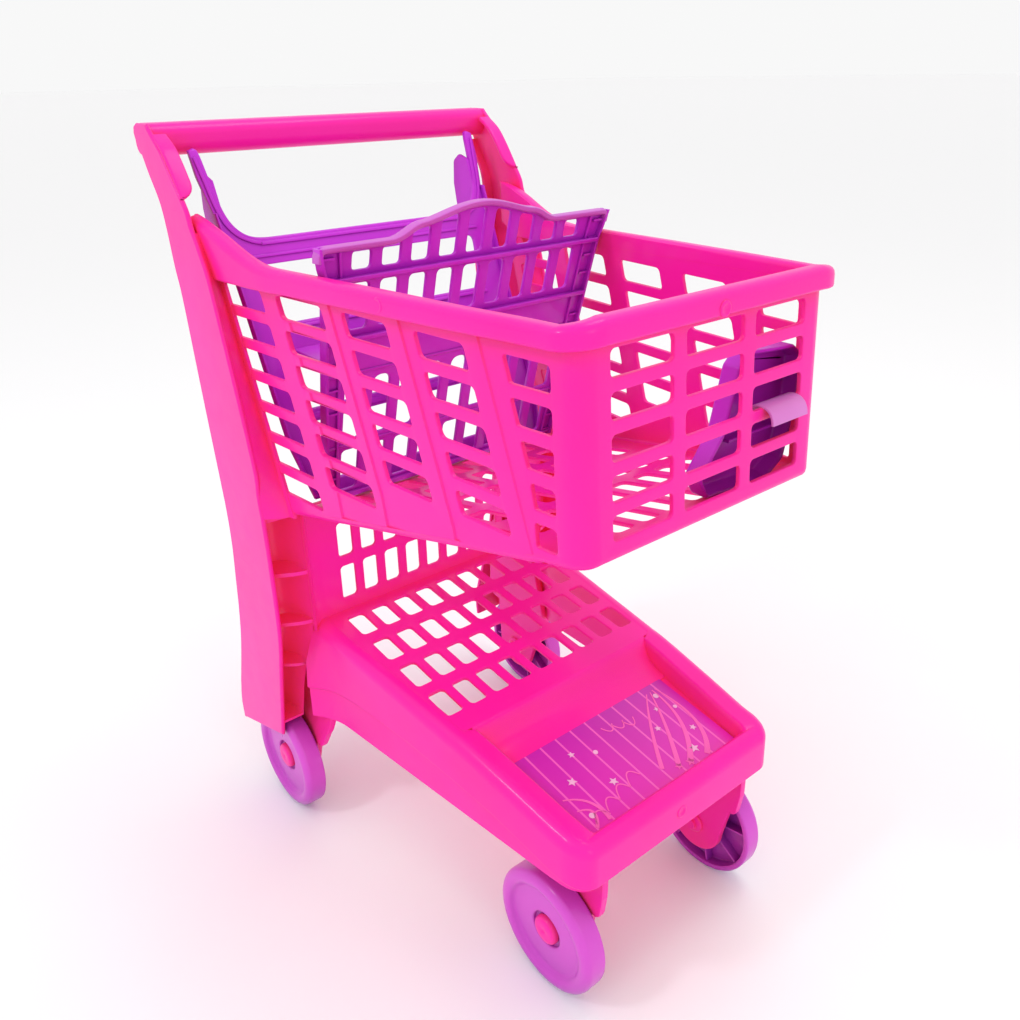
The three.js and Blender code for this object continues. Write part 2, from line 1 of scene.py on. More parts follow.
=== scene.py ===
import bpy, bmesh, json, math
from mathutils import Vector, Matrix
from mathutils.geometry import delaunay_2d_cdt
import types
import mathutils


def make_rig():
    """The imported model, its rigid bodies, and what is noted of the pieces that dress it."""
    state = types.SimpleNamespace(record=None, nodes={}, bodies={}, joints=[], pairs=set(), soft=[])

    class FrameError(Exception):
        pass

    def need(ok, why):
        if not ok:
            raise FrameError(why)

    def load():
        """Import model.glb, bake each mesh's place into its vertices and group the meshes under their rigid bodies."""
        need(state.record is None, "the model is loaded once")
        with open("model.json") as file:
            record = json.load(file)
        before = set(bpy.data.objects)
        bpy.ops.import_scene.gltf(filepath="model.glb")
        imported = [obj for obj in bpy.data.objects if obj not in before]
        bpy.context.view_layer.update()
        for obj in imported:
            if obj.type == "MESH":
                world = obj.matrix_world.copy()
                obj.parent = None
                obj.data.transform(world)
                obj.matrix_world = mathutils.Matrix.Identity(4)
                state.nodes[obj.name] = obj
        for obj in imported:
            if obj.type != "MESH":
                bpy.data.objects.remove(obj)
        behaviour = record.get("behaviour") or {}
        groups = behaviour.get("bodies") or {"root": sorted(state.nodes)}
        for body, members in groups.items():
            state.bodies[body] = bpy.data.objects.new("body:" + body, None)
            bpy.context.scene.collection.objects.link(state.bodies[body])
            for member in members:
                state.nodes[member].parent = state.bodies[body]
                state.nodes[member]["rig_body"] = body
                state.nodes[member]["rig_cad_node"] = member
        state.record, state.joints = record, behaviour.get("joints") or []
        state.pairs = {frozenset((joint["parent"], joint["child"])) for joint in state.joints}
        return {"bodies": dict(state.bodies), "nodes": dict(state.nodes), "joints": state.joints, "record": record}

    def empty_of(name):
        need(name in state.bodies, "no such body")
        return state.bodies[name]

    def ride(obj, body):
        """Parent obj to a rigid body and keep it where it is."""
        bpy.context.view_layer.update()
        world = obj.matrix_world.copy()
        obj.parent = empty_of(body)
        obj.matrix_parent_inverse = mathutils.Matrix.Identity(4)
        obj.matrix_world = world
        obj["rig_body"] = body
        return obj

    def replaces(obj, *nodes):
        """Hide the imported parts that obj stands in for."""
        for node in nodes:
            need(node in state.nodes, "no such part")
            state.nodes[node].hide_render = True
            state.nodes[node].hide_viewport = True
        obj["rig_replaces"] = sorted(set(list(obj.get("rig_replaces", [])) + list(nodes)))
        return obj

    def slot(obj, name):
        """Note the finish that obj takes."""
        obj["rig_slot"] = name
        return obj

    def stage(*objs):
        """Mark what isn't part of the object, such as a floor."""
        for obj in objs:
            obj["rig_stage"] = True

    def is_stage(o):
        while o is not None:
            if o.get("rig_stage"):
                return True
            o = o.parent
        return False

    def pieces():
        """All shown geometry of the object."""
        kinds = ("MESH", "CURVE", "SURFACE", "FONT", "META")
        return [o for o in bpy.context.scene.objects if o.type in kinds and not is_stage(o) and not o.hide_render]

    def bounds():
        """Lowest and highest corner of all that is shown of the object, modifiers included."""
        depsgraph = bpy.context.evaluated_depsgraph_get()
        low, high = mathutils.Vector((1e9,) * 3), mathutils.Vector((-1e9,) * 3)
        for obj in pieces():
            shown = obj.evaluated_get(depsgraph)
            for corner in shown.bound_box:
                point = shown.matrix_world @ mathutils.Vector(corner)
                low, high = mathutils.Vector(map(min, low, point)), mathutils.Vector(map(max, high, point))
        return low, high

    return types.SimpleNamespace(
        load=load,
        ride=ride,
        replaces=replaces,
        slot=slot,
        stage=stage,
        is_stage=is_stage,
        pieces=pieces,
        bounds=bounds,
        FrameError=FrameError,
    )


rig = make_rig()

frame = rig.load()
b0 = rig.bounds()
NODES = frame["nodes"]
S = 62.73          # mm, the CAD's x shift
MM = 0.001

# ======================================================================
# materials
# ======================================================================
def material(name, base, dark, painted_recess_shade=None, rough=0.33, sss=0.0, sss_col=None, bump=0.12, coat=0.20, scratch=0.25):
    # painted shade in recesses: without a given tint, the dark tone at 75 % is used
    painted_recess_shade = painted_recess_shade or tuple(c * 0.75 for c in dark)
    m = bpy.data.materials.new(name)
    m.use_nodes = True
    nt = m.node_tree
    nt.nodes.clear()
    N, L = nt.nodes.new, nt.links.new
    out = N("ShaderNodeOutputMaterial")
    p = N("ShaderNodeBsdfPrincipled")
    L(p.outputs[0], out.inputs[0])
    tc = N("ShaderNodeTexCoord")
    big = N("ShaderNodeTexNoise"); big.inputs["Scale"].default_value = 9.0; big.inputs["Detail"].default_value = 3.0
    fine = N("ShaderNodeTexNoise"); fine.inputs["Scale"].default_value = 420.0; fine.inputs["Detail"].default_value = 2.0
    mid = N("ShaderNodeTexNoise"); mid.inputs["Scale"].default_value = 60.0; mid.inputs["Detail"].default_value = 4.0
    for n in (big, fine, mid):
        L(tc.outputs["Object"], n.inputs["Vector"])
    # stretched noise reads as light handling scratches
    mp = N("ShaderNodeMapping"); mp.inputs["Scale"].default_value = (30.0, 30.0, 900.0)
    mp.inputs["Rotation"].default_value = (0.5, 0.3, 0.2)
    L(tc.outputs["Object"], mp.inputs["Vector"])
    scr = N("ShaderNodeTexNoise"); scr.inputs["Scale"].default_value = 1.0; scr.inputs["Detail"].default_value = 5.0
    L(mp.outputs[0], scr.inputs["Vector"])
    ramp = N("ShaderNodeMapRange"); ramp.inputs["From Min"].default_value = 0.66; ramp.inputs["From Max"].default_value = 0.78
    L(scr.outputs[0], ramp.inputs["Value"])
    mix = N("ShaderNodeMix"); mix.data_type = "RGBA"
    mix.inputs["A"].default_value = (*dark, 1); mix.inputs["B"].default_value = (*base, 1)
    mr = N("ShaderNodeMapRange"); mr.inputs["From Min"].default_value = 0.3; mr.inputs["From Max"].default_value = 0.6
    L(big.outputs[0], mr.inputs["Value"])
    L(mr.outputs[0], mix.inputs["Factor"])
    # painted bounce light and shade: where the AO node finds a recess, the base colour is mixed towards the recess
    # tint, since light that has bounced inside a recess of this plastic comes back redder
    ao = N("ShaderNodeAmbientOcclusion"); ao.samples = 1; ao.inputs["Distance"].default_value = 0.055
    recess_shade_mask = N("ShaderNodeMapRange"); recess_shade_mask.inputs["From Min"].default_value = 0.22; recess_shade_mask.inputs["From Max"].default_value = 0.74
    L(ao.outputs["AO"], recess_shade_mask.inputs["Value"])
    # this mix paints the recess shade into the base colour
    deep = N("ShaderNodeMix"); deep.data_type = "RGBA"
    deep.inputs["A"].default_value = (*painted_recess_shade, 1)
    L(recess_shade_mask.outputs[0], deep.inputs["Factor"]); L(mix.outputs["Result"], deep.inputs["B"])
    L(deep.outputs["Result"], p.inputs["Base Color"])
    r1 = N("ShaderNodeMapRange"); r1.inputs["To Min"].default_value = rough - 0.06; r1.inputs["To Max"].default_value = rough + 0.08
    L(mid.outputs[0], r1.inputs["Value"])
    r2 = N("ShaderNodeMath"); r2.operation = "MULTIPLY_ADD"; r2.inputs[1].default_value = scratch * 0.5
    L(ramp.outputs[0], r2.inputs[0]); L(r1.outputs[0], r2.inputs[2])
    L(r2.outputs[0], p.inputs["Roughness"])
    add = N("ShaderNodeMath"); add.operation = "MULTIPLY_ADD"; add.inputs[1].default_value = 0.35
    L(mid.outputs[0], add.inputs[0]); L(fine.outputs[0], add.inputs[2])
    bmp = N("ShaderNodeBump"); bmp.inputs["Strength"].default_value = bump; bmp.inputs["Distance"].default_value = 0.0004
    L(add.outputs[0], bmp.inputs["Height"])
    L(bmp.outputs[0], p.inputs["Normal"])
    if sss:
        p.inputs["Subsurface Weight"].default_value = sss
        p.inputs["Subsurface Radius"].default_value = sss_col or (1.0, 0.25, 0.6)
        p.inputs["Subsurface Scale"].default_value = 0.004
    p.inputs["Coat Weight"].default_value = coat
    p.inputs["Coat Roughness"].default_value = 0.14
    p.inputs["IOR"].default_value = 1.40
    p.inputs["Specular IOR Level"].default_value = 0.26
    return m

# the third colour of each plastic is its painted shade and bounce tint in recesses
PINK = material("pink_plastic", (0.97, 0.0115, 0.405), (0.95, 0.0095, 0.36), (1.0, 0.060, 0.135), rough=0.36)
PURPLE = material("purple_plastic", (0.62, 0.034, 0.72), (0.56, 0.027, 0.65), (0.34, 0.010, 0.44), rough=0.34)
# painted highlight: a lighter, pinker copy of the purple plastic, used on the flap's top lip where a highlight falls
PURPLE_PAINTED_HIGHLIGHT = material("purple_edge", (0.62, 0.13, 0.60), (0.56, 0.10, 0.56), (0.34, 0.02, 0.40), rough=0.36)
WHEEL = material("wheel_plastic", (0.70, 0.085, 0.63), (0.64, 0.068, 0.58), (0.26, 0.008, 0.34), rough=0.30, coat=0.3)
LILAC = material("lilac_plastic", (0.72, 0.22, 0.64), (0.66, 0.18, 0.58), rough=0.35)

# ======================================================================
# mesh helpers; everything is written in mm and scaled when it is stored
# ======================================================================
def obj(name, verts, faces, mat, body, weighted=True):
    me = bpy.data.meshes.new(name)
    me.from_pydata([((x + S) * MM, y * MM, z * MM) for x, y, z in verts], [], faces)
    me.validate()
    bm = bmesh.new(); bm.from_mesh(me)
    bmesh.ops.remove_doubles(bm, verts=bm.verts, dist=1e-6)
    bmesh.ops.recalc_face_normals(bm, faces=bm.faces)
    bm.to_mesh(me); bm.free()
    for p in me.polygons:
        p.use_smooth = True
    o = bpy.data.objects.new(name, me)
    bpy.context.scene.collection.objects.link(o)
    me.materials.append(mat)
    try:
        me.set_sharp_from_angle(angle=math.radians(40))
    except Exception:
        pass
    if weighted:
        w = o.modifiers.new("wn", "WEIGHTED_NORMAL")
        w.keep_sharp = True; w.weight = 80; w.mode = "FACE_AREA"
    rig.ride(o, body)
    return o

def merge(parts):
    V, F = [], []
    for v, f in parts:
        n = len(V)
        V += v
        F += [tuple(i + n for i in q) for q in f]
    return V, F

def area2(p):
    return sum(p[i][0] * p[(i + 1) % len(p)][1] - p[(i + 1) % len(p)][0] * p[i][1] for i in range(len(p))) / 2

def offset(poly, d):
    """moves a closed CCW outline inwards by d (outwards if negative)"""
    n = len(poly); out = []
    for i in range(n):
        ax, ay = poly[i - 1]; bx, by = poly[i]; cx, cy = poly[(i + 1) % n]
        e1 = (bx - ax, by - ay); e2 = (cx - bx, cy - by)
        l1 = math.hypot(*e1) or 1e-9; l2 = math.hypot(*e2) or 1e-9
        n1 = (-e1[1] / l1, e1[0] / l1); n2 = (-e2[1] / l2, e2[0] / l2)
        k = 1 + n1[0] * n2[0] + n1[1] * n2[1]
        k = max(k, 0.35)
        out.append((bx + d * (n1[0] + n2[0]) / k, by + d * (n1[1] + n2[1]) / k))
    return out

def slab(outer, holes, t, b, fn, lines=(), bo=None, seg=2):
    """plate with rounded slot edges. fn(u, v, w) -> xyz, w = 0 is the outside face."""
    if area2(outer) < 0: outer = outer[::-1]
    holes = [h if area2(h) > 0 else h[::-1] for h in holes]
    bo = b if bo is None else bo
    V, F = [], []
    def ring_levels(bb):
        bb = min(bb, t / 2 - 0.01)
        lv = [(bb * (1 - math.sin(a)), bb * (1 - math.cos(a))) for a in [math.pi / 2 * i / seg for i in range(seg + 1)]]
        # (inset, depth) from the face edge to the side
        return lv + [(i, t - d) for i, d in reversed(lv)]
    faces2d = {0: [], 1: []}
    for poly, bb, sgn in [(outer, bo, 1)] + [(h, b, -1) for h in holes]:
        lv = ring_levels(bb)
        rings = []
        for inset, depth in lv:
            q = offset(poly, sgn * inset)
            base = len(V)
            V += [(u, v, depth) for u, v in q]
            rings.append((base, q))
        n = len(poly)
        for (a, _), (c, _) in zip(rings, rings[1:]):
            for i in range(n):
                j = (i + 1) % n
                F.append((a + i, a + j, c + j, c + i))
        faces2d[0].append(rings[0]); faces2d[1].append(rings[-1])
    for side in (0, 1):
        co, edges, fcs, idx = [], [], [], []
        for base, q in faces2d[side]:
            s0 = len(co)
            co += [Vector(p) for p in q]
            idx += [base + i for i in range(len(q))]
            edges += [(s0 + i, s0 + (i + 1) % len(q)) for i in range(len(q))]
            fcs.append(list(range(s0, s0 + len(q))))
        for ln in lines:
            s0 = len(co)
            co += [Vector(p) for p in ln]
            idx += [None] * len(ln)
            edges += [(s0 + i, s0 + i + 1) for i in range(len(ln) - 1)]
        r = delaunay_2d_cdt(co, edges, fcs, 1, 1e-5, True)
        vs, fs, orig, forig = r[0], r[2], r[3], r[5]
        mp = []
        w = 0.0 if side == 0 else t
        for k, v in enumerate(vs):
            src = [idx[o] for o in orig[k] if idx[o] is not None]
            if src: mp.append(src[0])
            else:
                V.append((v.x, v.y, w)); mp.append(len(V) - 1)
        for f, src in zip(fs, forig):
            if any(q > 0 for q in src) or 0 not in src: continue
            F.append(tuple(mp[i] for i in f) if side else tuple(mp[i] for i in reversed(f)))
    return [fn(*v) for v in V], F

def rrect(u0, v0, u1, v1, r=3.0, lean=0.0, n=4, shear=0.0):
    """slot outline with round corners. lean shifts the lower edge, shear slopes top and bottom"""
    r = min(r, (u1 - u0) / 2 - 0.05, (v1 - v0) / 2 - 0.05)
    pts = []
    for cx, cy, a0 in ((u1 - r, v1 - r, 0), (u0 + r, v1 - r, 90), (u0 + r, v0 + r, 180), (u1 - r, v0 + r, 270)):
        for i in range(n + 1):
            a = math.radians(a0 + 90 * i / n)
            pts.append((cx + r * math.cos(a), cy + r * math.sin(a)))
    return [(u + lean * (v1 - v), v + shear * (u - u0)) for u, v in pts]

def rounded(poly, radii, n=5):
    """rounds each corner of an outline"""
    out = []
    m = len(poly)
    for i in range(m):
        r = radii[i] if isinstance(radii, (list, tuple)) else radii
        p0, p1, p2 = Vector(poly[i - 1]), Vector(poly[i]), Vector(poly[(i + 1) % m])
        a = (p0 - p1); c = (p2 - p1)
        la, lc = a.length, c.length
        if r <= 0 or la < 1e-6 or lc < 1e-6:
            out.append(tuple(p1)); continue
        a.normalize(); c.normalize()
        ang = a.angle(c)
        if ang > math.radians(174):
            out.append(tuple(p1)); continue
        d = min(r / math.tan(ang / 2), la * 0.48, lc * 0.48)
        s, e = p1 + a * d, p1 + c * d
        for k in range(n + 1):
            t = k / n
            q = s * (1 - t) ** 2 + p1 * (2 * t * (1 - t)) + e * t * t
            out.append(tuple(q))
    return out

def smooth(pts, n=6, closed=False):
    """Catmull-Rom through the points"""
    out = []
    m = len(pts)
    rng = range(m if closed else m - 1)
    for i in rng:
        p0 = pts[i - 1] if (closed or i > 0) else pts[i]
        p1, p2 = pts[i], pts[(i + 1) % m]
        p3 = pts[(i + 2) % m] if (closed or i + 2 < m) else p2
        for k in range(n):
            t = k / n
            out.append(tuple(0.5 * ((2 * b) + (-a + c) * t + (2 * a - 5 * b + 4 * c - d) * t * t + (-a + 3 * b - 3 * c + d) * t ** 3)
                             for a, b, c, d in zip(p0, p1, p2, p3)))
    if not closed: out.append(tuple(pts[-1]))
    return out

def loft(rings, closed_ring=True, caps=True, closed_path=False):
    V = [p for r in rings for p in r]
    n = len(rings[0]); F = []
    m = len(rings)
    for i in range(m if closed_path else m - 1):
        for j in range(n if closed_ring else n - 1):
            a, b = i * n + j, i * n + (j + 1) % n
            c, d = ((i + 1) % m) * n + (j + 1) % n, ((i + 1) % m) * n + j
            F.append((a, b, c, d))
    if caps and not closed_path:
        F.append(tuple(reversed(range(n))))
        F.append(tuple(range((m - 1) * n, m * n)))
    return V, F

def lathe_y(profile, x, y, z, n=96, sgn=1, close=False):
    """profile of (radius, height); height runs along +Y*sgn from y"""
    rings = []
    for k in range(n):
        a = 2 * math.pi * k / n
        rings.append([(x + r * math.cos(a), y + sgn * h, z + r * math.sin(a)) for r, h in profile])
    return loft(rings, closed_ring=close, caps=False, closed_path=True)

def mirror(vf):
    v, f = vf
    return [(x, -y, z) for x, y, z in v], [tuple(reversed(q)) for q in f]

def both(vf):
    return merge([vf, mirror(vf)])

def arcp(cx, cy, r, a0, a1, n):
    return [(cx + r * math.cos(math.radians(a0 + (a1 - a0) * i / n)), cy + r * math.sin(math.radians(a0 + (a1 - a0) * i / n))) for i in range(n + 1)]

# ======================================================================
# shared layout (matches the CAD)
# ======================================================================
wallY = lambda x: 116.0 - 0.105 * x
frontX = lambda z: 165.2 - 0.061 * z
floorZ = lambda x: 322 + 0.208 * x
gateX = lambda z: -236 + 0.43 * (534 - z)
flapX = lambda z: -129 + 54 / 197 * (z - 295)
deckZ = lambda x: 172 + 0.12 * (18 - x)
trayY = lambda x: 98 + 0.075 * (120 - x)
LEAN = 0.33

def lerp(a, b, t): return a + (b - a) * t
def interp(tab, x):
    if x <= tab[0][0]: return tab[0][1]
    for (x0, y0), (x1, y1) in zip(tab, tab[1:]):
        if x <= x1: return lerp(y0, y1, (x - x0) / (x1 - x0))
    return tab[-1][1]

# ---------------------------------------------------------------- basket
XC = 124.0                    # corner starts here on the side
YC = 88.5                     # and ends here on the front
CL = 24.0                     # its length in the layout
SF = XC + CL                  # layout s where the front wall starts
ZB = lambda s: floorZ(s) if s < XC else lerp(floorZ(XC), 351.0, min(1, (s - XC) / CL))

def wall_step(x, z):
    """the side wall is made of overlapping leaves: each stands out a little towards its front edge"""
    lines = [-112.0, -61.0, 6.0, 71.0]
    q = [l + LEAN * (460 - max(z, 345)) + 0.17 * max(0, 345 - z) for l in lines]
    edges = [-190.0] + q + [XC]
    for i in range(5):
        if edges[i] <= x < edges[i + 1] or (i == 4 and x >= edges[4]):
            f = (x - edges[i]) / max(1e-6, edges[i + 1] - edges[i])
            if i == 4: return 0.0
            return 1.1 * max(0, min(1, (f - 0.55) / 0.45))
    return 0.0

def basket_pt(s, z, w, z_base=None):
    """right half of the basket wall; w runs inwards from the outside face"""
    zb = ZB(s)
    r = 6.0
    t = z - zb
    if t < r:
        ph = (1 - max(t, 0) / r) * math.pi / 2
        inn = r * (1 - math.cos(ph)); zz = zb + r - r * math.sin(ph)
        nx, nz = math.cos(ph), math.sin(ph)
        inn += w * nx; zz += w * nz
    else:
        inn = w; zz = z
    if s <= XC:
        st = wall_step(s, z) if w < 2.5 else 0.0
        if s > 95: st *= max(0, (XC - s) / (XC - 95))
        return (s, -(wallY(s) - inn + st), zz)
    fx = frontX(min(zz, 490))
    if s < SF:
        a = (s - XC) / CL * math.pi / 2
        ys = wallY(XC)
        return (XC + (fx - inn - XC) * math.sin(a), -(YC + (ys - inn - YC) * math.cos(a)), zz)
    y = -YC + (s - SF)
    return (fx - inn, y, zz)

def full_basket(s, z, w):
    mid = SF + YC            # y = 0
    if s <= mid: return basket_pt(s, z, w)
    x, y, zz = basket_pt(2 * mid - s, z, w)
    return (x, -y, zz)

MID = SF + YC
WALL_TOP = [(-213, 502), (-201, 499), (-176, 492), (-153, 484), (-134, 477.5), (-121, 476), (124, 478)]
def top_z(s):
    if s < XC: return interp(WALL_TOP, s)
    if s < SF: return lerp(478, 482, (s - XC) / CL)
    return 482.0

def basket():
    side_rear = [(-146, floorZ(-146)), (-163, 340), (-199, 450), (-208, 478), (-213, 502)]
    top = [(s, z) for s, z in smooth([(-213, 502), (-201, 499), (-176, 491), (-153, 482.5), (-134, 477.5), (-118, 476), (-90, 476)], 4)] + [(XC, 478)]
    ss = [XC + CL * i / 10 for i in range(11)]
    bot = [(s, ZB(s)) for s in ([-100, -50, 0, 50, 100] + ss)]
    topc = [(s, top_z(s)) for s in ss[1:]]
    half = side_rear[1:] + top[1:] + topc                       # rear corner up and along to the front
    half_b = [(-146, floorZ(-146))] + bot
    outline = half_b[::-1] + half
    # outline so far runs SF bottom -> rear bottom -> rear top -> SF top; mirror for the other side
    other = [(2 * MID - s, z) for s, z in outline][::-1]
    full = outline + other
    holes = []
    for sign in (0, 1):
        def P(pts): return pts if not sign else [(2 * MID - s, z) for s, z in pts]
        cols = [(-190, -140), (-121, -71), (-51, -8), (16, 57), (81, 114)]
        for ci, (a, c) in enumerate(cols):
            for r in range(7):
                top_ = 458.5 - 22 * r; bt = top_ - 14.5
                sh = (460 - top_) * LEAN
                u0, u1 = a + sh, c + sh
                if ci == 4:
                    n0 = (86, 91, 98, 105, 108, 109, 109.5)[r]
                    n1 = (4.6, 4.8, 4.8, 3.0, 1.2, 0.8, 0.6)[r]
                    u1 = 118.5 + 0.055 * (460 - top_)
                    pts = rounded([(n0 + n1, bt), (u1 + 0.8, bt), (u1, top_), (n0, top_)], [2.2, 3, 3, 2.2], 5)
                    holes.append(P(pts)); continue
                if bt < floorZ(u1 + LEAN * 14.5) + 8: continue
                holes.append(P(rrect(u0, bt, u1, top_, 3.0, LEAN)))
    for a, c in ((-80, -34), (-24, 24), (34, 80)):
        for r in range(5):
            top_ = 466 - 22 * r
            holes.append(rrect(MID + a, top_ - 14.5, MID + c, top_, 3.0))
    lines = []
    for s in ss:
        for q in (s, 2 * MID - s):
            lines.append([(q, ZB(min(q, 2 * MID - q)) + 0.9), (q, top_z(min(q, 2 * MID - q)) - 0.9)])
    # leaf lines
    for l in (-112.0, -61.0, 6.0, 71.0):
        for d in (-0.35, 0.35):
            for sg in (0, 1):
                pts = []
                for z in (474.5, 345, 335):
                    x = l + d + LEAN * (460 - max(z, 345)) + 0.17 * max(0, 345 - z)
                    if z < ZB(x) + 8: break
                    pts.append((x, z))
                x, z = pts[-1]
                k = LEAN if z >= 345 else 0.17
                # down to just above the bottom roll
                z2 = ZB(x) + 7.5
                for _ in range(4):
                    x2 = x + (LEAN * (min(z, 1e9) - z2) if z > 345 else 0.17 * (z - z2))
                    z2 = ZB(x2) + 7.0
                pts.append((x2, z2))
                if sg: pts = [(2 * MID - a, b) for a, b in pts]
                lines.append(pts)
    # bottom roll
    for k in (1.5, 3.0, 4.5, 6.0):
        pts = [(-145 + k * 0.1, ZB(-145) + k)] + [(s, ZB(s) + k) for s in ([-100, -50, 0, 50, 100] + ss)]
        pts += [(2 * MID - s, z) for s, z in pts[::-1]]
        lines.append(pts)
    return slab(full, holes, 3.2, 0.9, full_basket, lines, bo=0.6)

def basket_path():
    """stations of the rim: (point function of outward offset d and height), from the rear right to the middle of the front"""
    st = [-211, -206, -201, -196, -188, -178, -166, -153, -140, -128, -115, -100, -60, 0, 60, 100, 118, XC]
    st += [XC + CL * i / 12 for i in range(1, 13)] + [SF + 5, SF + 20, SF + 50, MID]
    return st

def rim():
    rings = []
    st = basket_path()
    full = st + [2 * MID - s for s in st[:-1][::-1]]
    for s in full:
        q = min(s, 2 * MID - s)
        if q < XC:
            zt = interp([(-213, 502), (-201, 499.3), (-188, 496), (-176, 491.8), (-164, 487), (-153, 483), (-143, 480), (-134, 478), (-121, 476.6), (112, 480)], q)
            zl = interp([(-211, 466), (-200, 461), (-139, 461), (112, 468)], q)
        else:
            f = min(1, (q - XC) / CL)
            zt = lerp(480, 484, f); zl = lerp(468, 470.5, f)
        D = 8.0
        if q < -196: D = lerp(8.0, 6.0, (-196 - q) / 15)
        prof = [(-3.4, zl + 3), (-3.4, zt - 3.4), (-3.0, zt - 1.6), (-1.9, zt - 0.4), (-0.4, zt), (D - 5.2, zt), (D - 3.2, zt - 0.35), (D - 1.5, zt - 1.4), (D - 0.4, zt - 3.1), (D, zt - 5.2),
                (D, zl + 2.0), (D - 0.4, zl + 0.8), (D - 1.4, zl + 0.1), (D - 2.6, zl), (D - 3.6, zl + 0.8), (D - 3.6, zt - 7), (0, zt - 7)]
        ring = []
        for d, z in prof:
            x, y, zz = full_basket(s, max(z, ZB(q) + 10), -d)
            ring.append((x, y, zz))
        rings.append(ring)
    return loft(rings)

def basket_floor():
    hw = lambda x: wallY(x) - 5.0
    holes = []
    for r in range(6):
        for c in range(-4, 5):
            a = -122 + r * 42
            y0 = c * 21.7 - 7
            if max(abs(y0), abs(y0 + 14)) > hw(a + 30) - 8: continue
            holes.append(rrect(a, y0, a + 30, y0 + 14, 3))
    out = [(-134, -hw(-134)), (122, -hw(122)), (131, -94), (136, -86), (137, -78), (137, 78), (136, 86), (131, 94), (122, hw(122)), (-134, hw(-134))]
    return slab(out, holes, 3, 0.9, lambda u, v, w: (u, v, floorZ(u) + 0.6 + w) if u < 134 else (u, v, floorZ(u) + 0.9 + w))

def ring_boss(x, y, z, r, h, ax, n=36):
    """small round moulding mark with a dimpled middle; ax is the outward direction"""
    prof = [(r, -2.5), (r, 0), (r * 0.95, h * 0.6), (r * 0.82, h), (r * 0.62, h * 0.95), (r * 0.45, h * 0.45), (r * 0.2, h * 0.25), (0.001, h * 0.22)]
    ax = Vector(ax).normalized(); t1 = ax.cross(Vector((0, 0, 1))).normalized(); t2 = t1.cross(ax)
    rings = []
    for k in range(n):
        a = 2 * math.pi * k / n
        d = t1 * math.cos(a) + t2 * math.sin(a)
        rings.append([tuple(Vector((x, y, z)) + d * rr + ax * hh) for rr, hh in prof])
    return loft(rings, closed_ring=False, caps=False, closed_path=True)

def dome_x(x, y, z, r, h, n=32):
    prof = [(r * 0.92 + r * 0.08, -3), (r, 0), (r * 0.96, h * 0.45), (r * 0.86, h * 0.8), (r * 0.6, h), (0.001, h * 1.03)]
    rings = []
    for k in range(n):
        a = 2 * math.pi * k / n
        rings.append([(x + hh, y + rr * math.cos(a), z + rr * math.sin(a)) for rr, hh in prof])
    return loft(rings, closed_ring=False, caps=False, closed_path=True)

basket_o = obj("basket_shell", *merge([basket(), rim(), basket_floor(), ring_boss(144.2, -4, 474.5, 4.6, 0.9, (1, 0, 0)), ring_boss(-1, -(wallY(-1) + 8.0), 471.3, 4.8, 1.0, (0, -1, 0)), ring_boss(-1, wallY(-1) + 8.0, 471.3, 4.8, 1.0, (0, 1, 0))]), PINK, "cart")
both_names = lambda n: [n + "_left", n + "_right"]
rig.replaces(basket_o, *both_names("basket_side_wall"), "basket_front_wall", *both_names("basket_corner"), *both_names("basket_rim"), "basket_rim_front", "basket_floor")
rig.slot(basket_o, "body")

# ---------------------------------------------------------------- columns
REAR = [(-268, 543), (-258, 526), (-246, 508), (-241, 490), (-237, 463), (-232, 441), (-224, 370), (-216, 304), (-213, 275), (-213, 246), (-217, 212), (-221, 181), (-228, 148), (-244, 98)]
FRONT = [(-229, 542), (-218, 528), (-206, 514), (-199, 504), (-196, 495), (-186, 478), (-175, 450), (-148, 340), (-147, 311), (-145, 289), (-144, 263), (-144, 208), (-147, 179), (-154, 147), (-161, 113), (-167, 84)]
YO = -149.5

def strip(line, t, y0, y1, b=1.0, side=1):
    """ribbon along an xz line (t thick towards side) between y0 and y1, y's may be lists"""
    rings = []
    n = len(line)
    for i, (x, z) in enumerate(line):
        a = line[max(0, i - 1)]; c = line[min(n - 1, i + 1)]
        dx, dz = c[0] - a[0], c[1] - a[1]
        l = math.hypot(dx, dz) or 1
        nx, nz = -dz / l * side, dx / l * side
        ya = y0[i] if isinstance(y0, list) else y0
        yb = y1[i] if isinstance(y1, list) else y1
        sg = 1 if yb > ya else -1
        pr = [(0, ya + sg * b), (0, yb - sg * b), (b * .3, yb - sg * b * .3), (b, yb), (t - b, yb), (t - b * .3, yb - sg * b * .3), (t, yb - sg * b), (t, ya + sg * b), (t - b * .3, ya + sg * b * .3), (t - b, ya), (b, ya), (b * .3, ya + sg * b * .3)]
        rings.append([(x + nx * d, y, z + nz * d) for d, y in pr])
    return loft(rings)

def column():
    parts = []
    cap = [(-246.5, 556.5), (-249.5, 559.6), (-268, 560), (-273, 558), (-275, 553.5), (-273.5, 549)]
    rear = smooth(REAR, 5)
    front = smooth(FRONT, 5)
    outline = front[::-1] + [(-238, 549.5)] + cap + rear + [(-250, 72), (-249, 55)]
    parts.append(slab(outline, [], 3.6, 1.7, lambda u, v, w: (u, YO + w, v), bo=1.7, seg=4))
    # rear edge web and its toe
    rl = smooth([(-262, 533)] + REAR[1:] + [(-249.6, 76), (-248.5, 56)], 4)
    yin = [-interp([(440, 118.5), (486, 137.5), (530, 140.5)], z) for x, z in rl]
    parts.append(strip(rl, 3.4, YO + 0.3, yin, 1.0, side=1))
    return parts

def fx_at(z):
    return interp(sorted([(zz, xx) for xx, zz in FRONT]), z)
def wx_at(z):
    """where the basket wall starts behind the column's front edge"""
    return interp([(290, -138.5), (455, -191.5), (478, -198), (505, -207)], z)

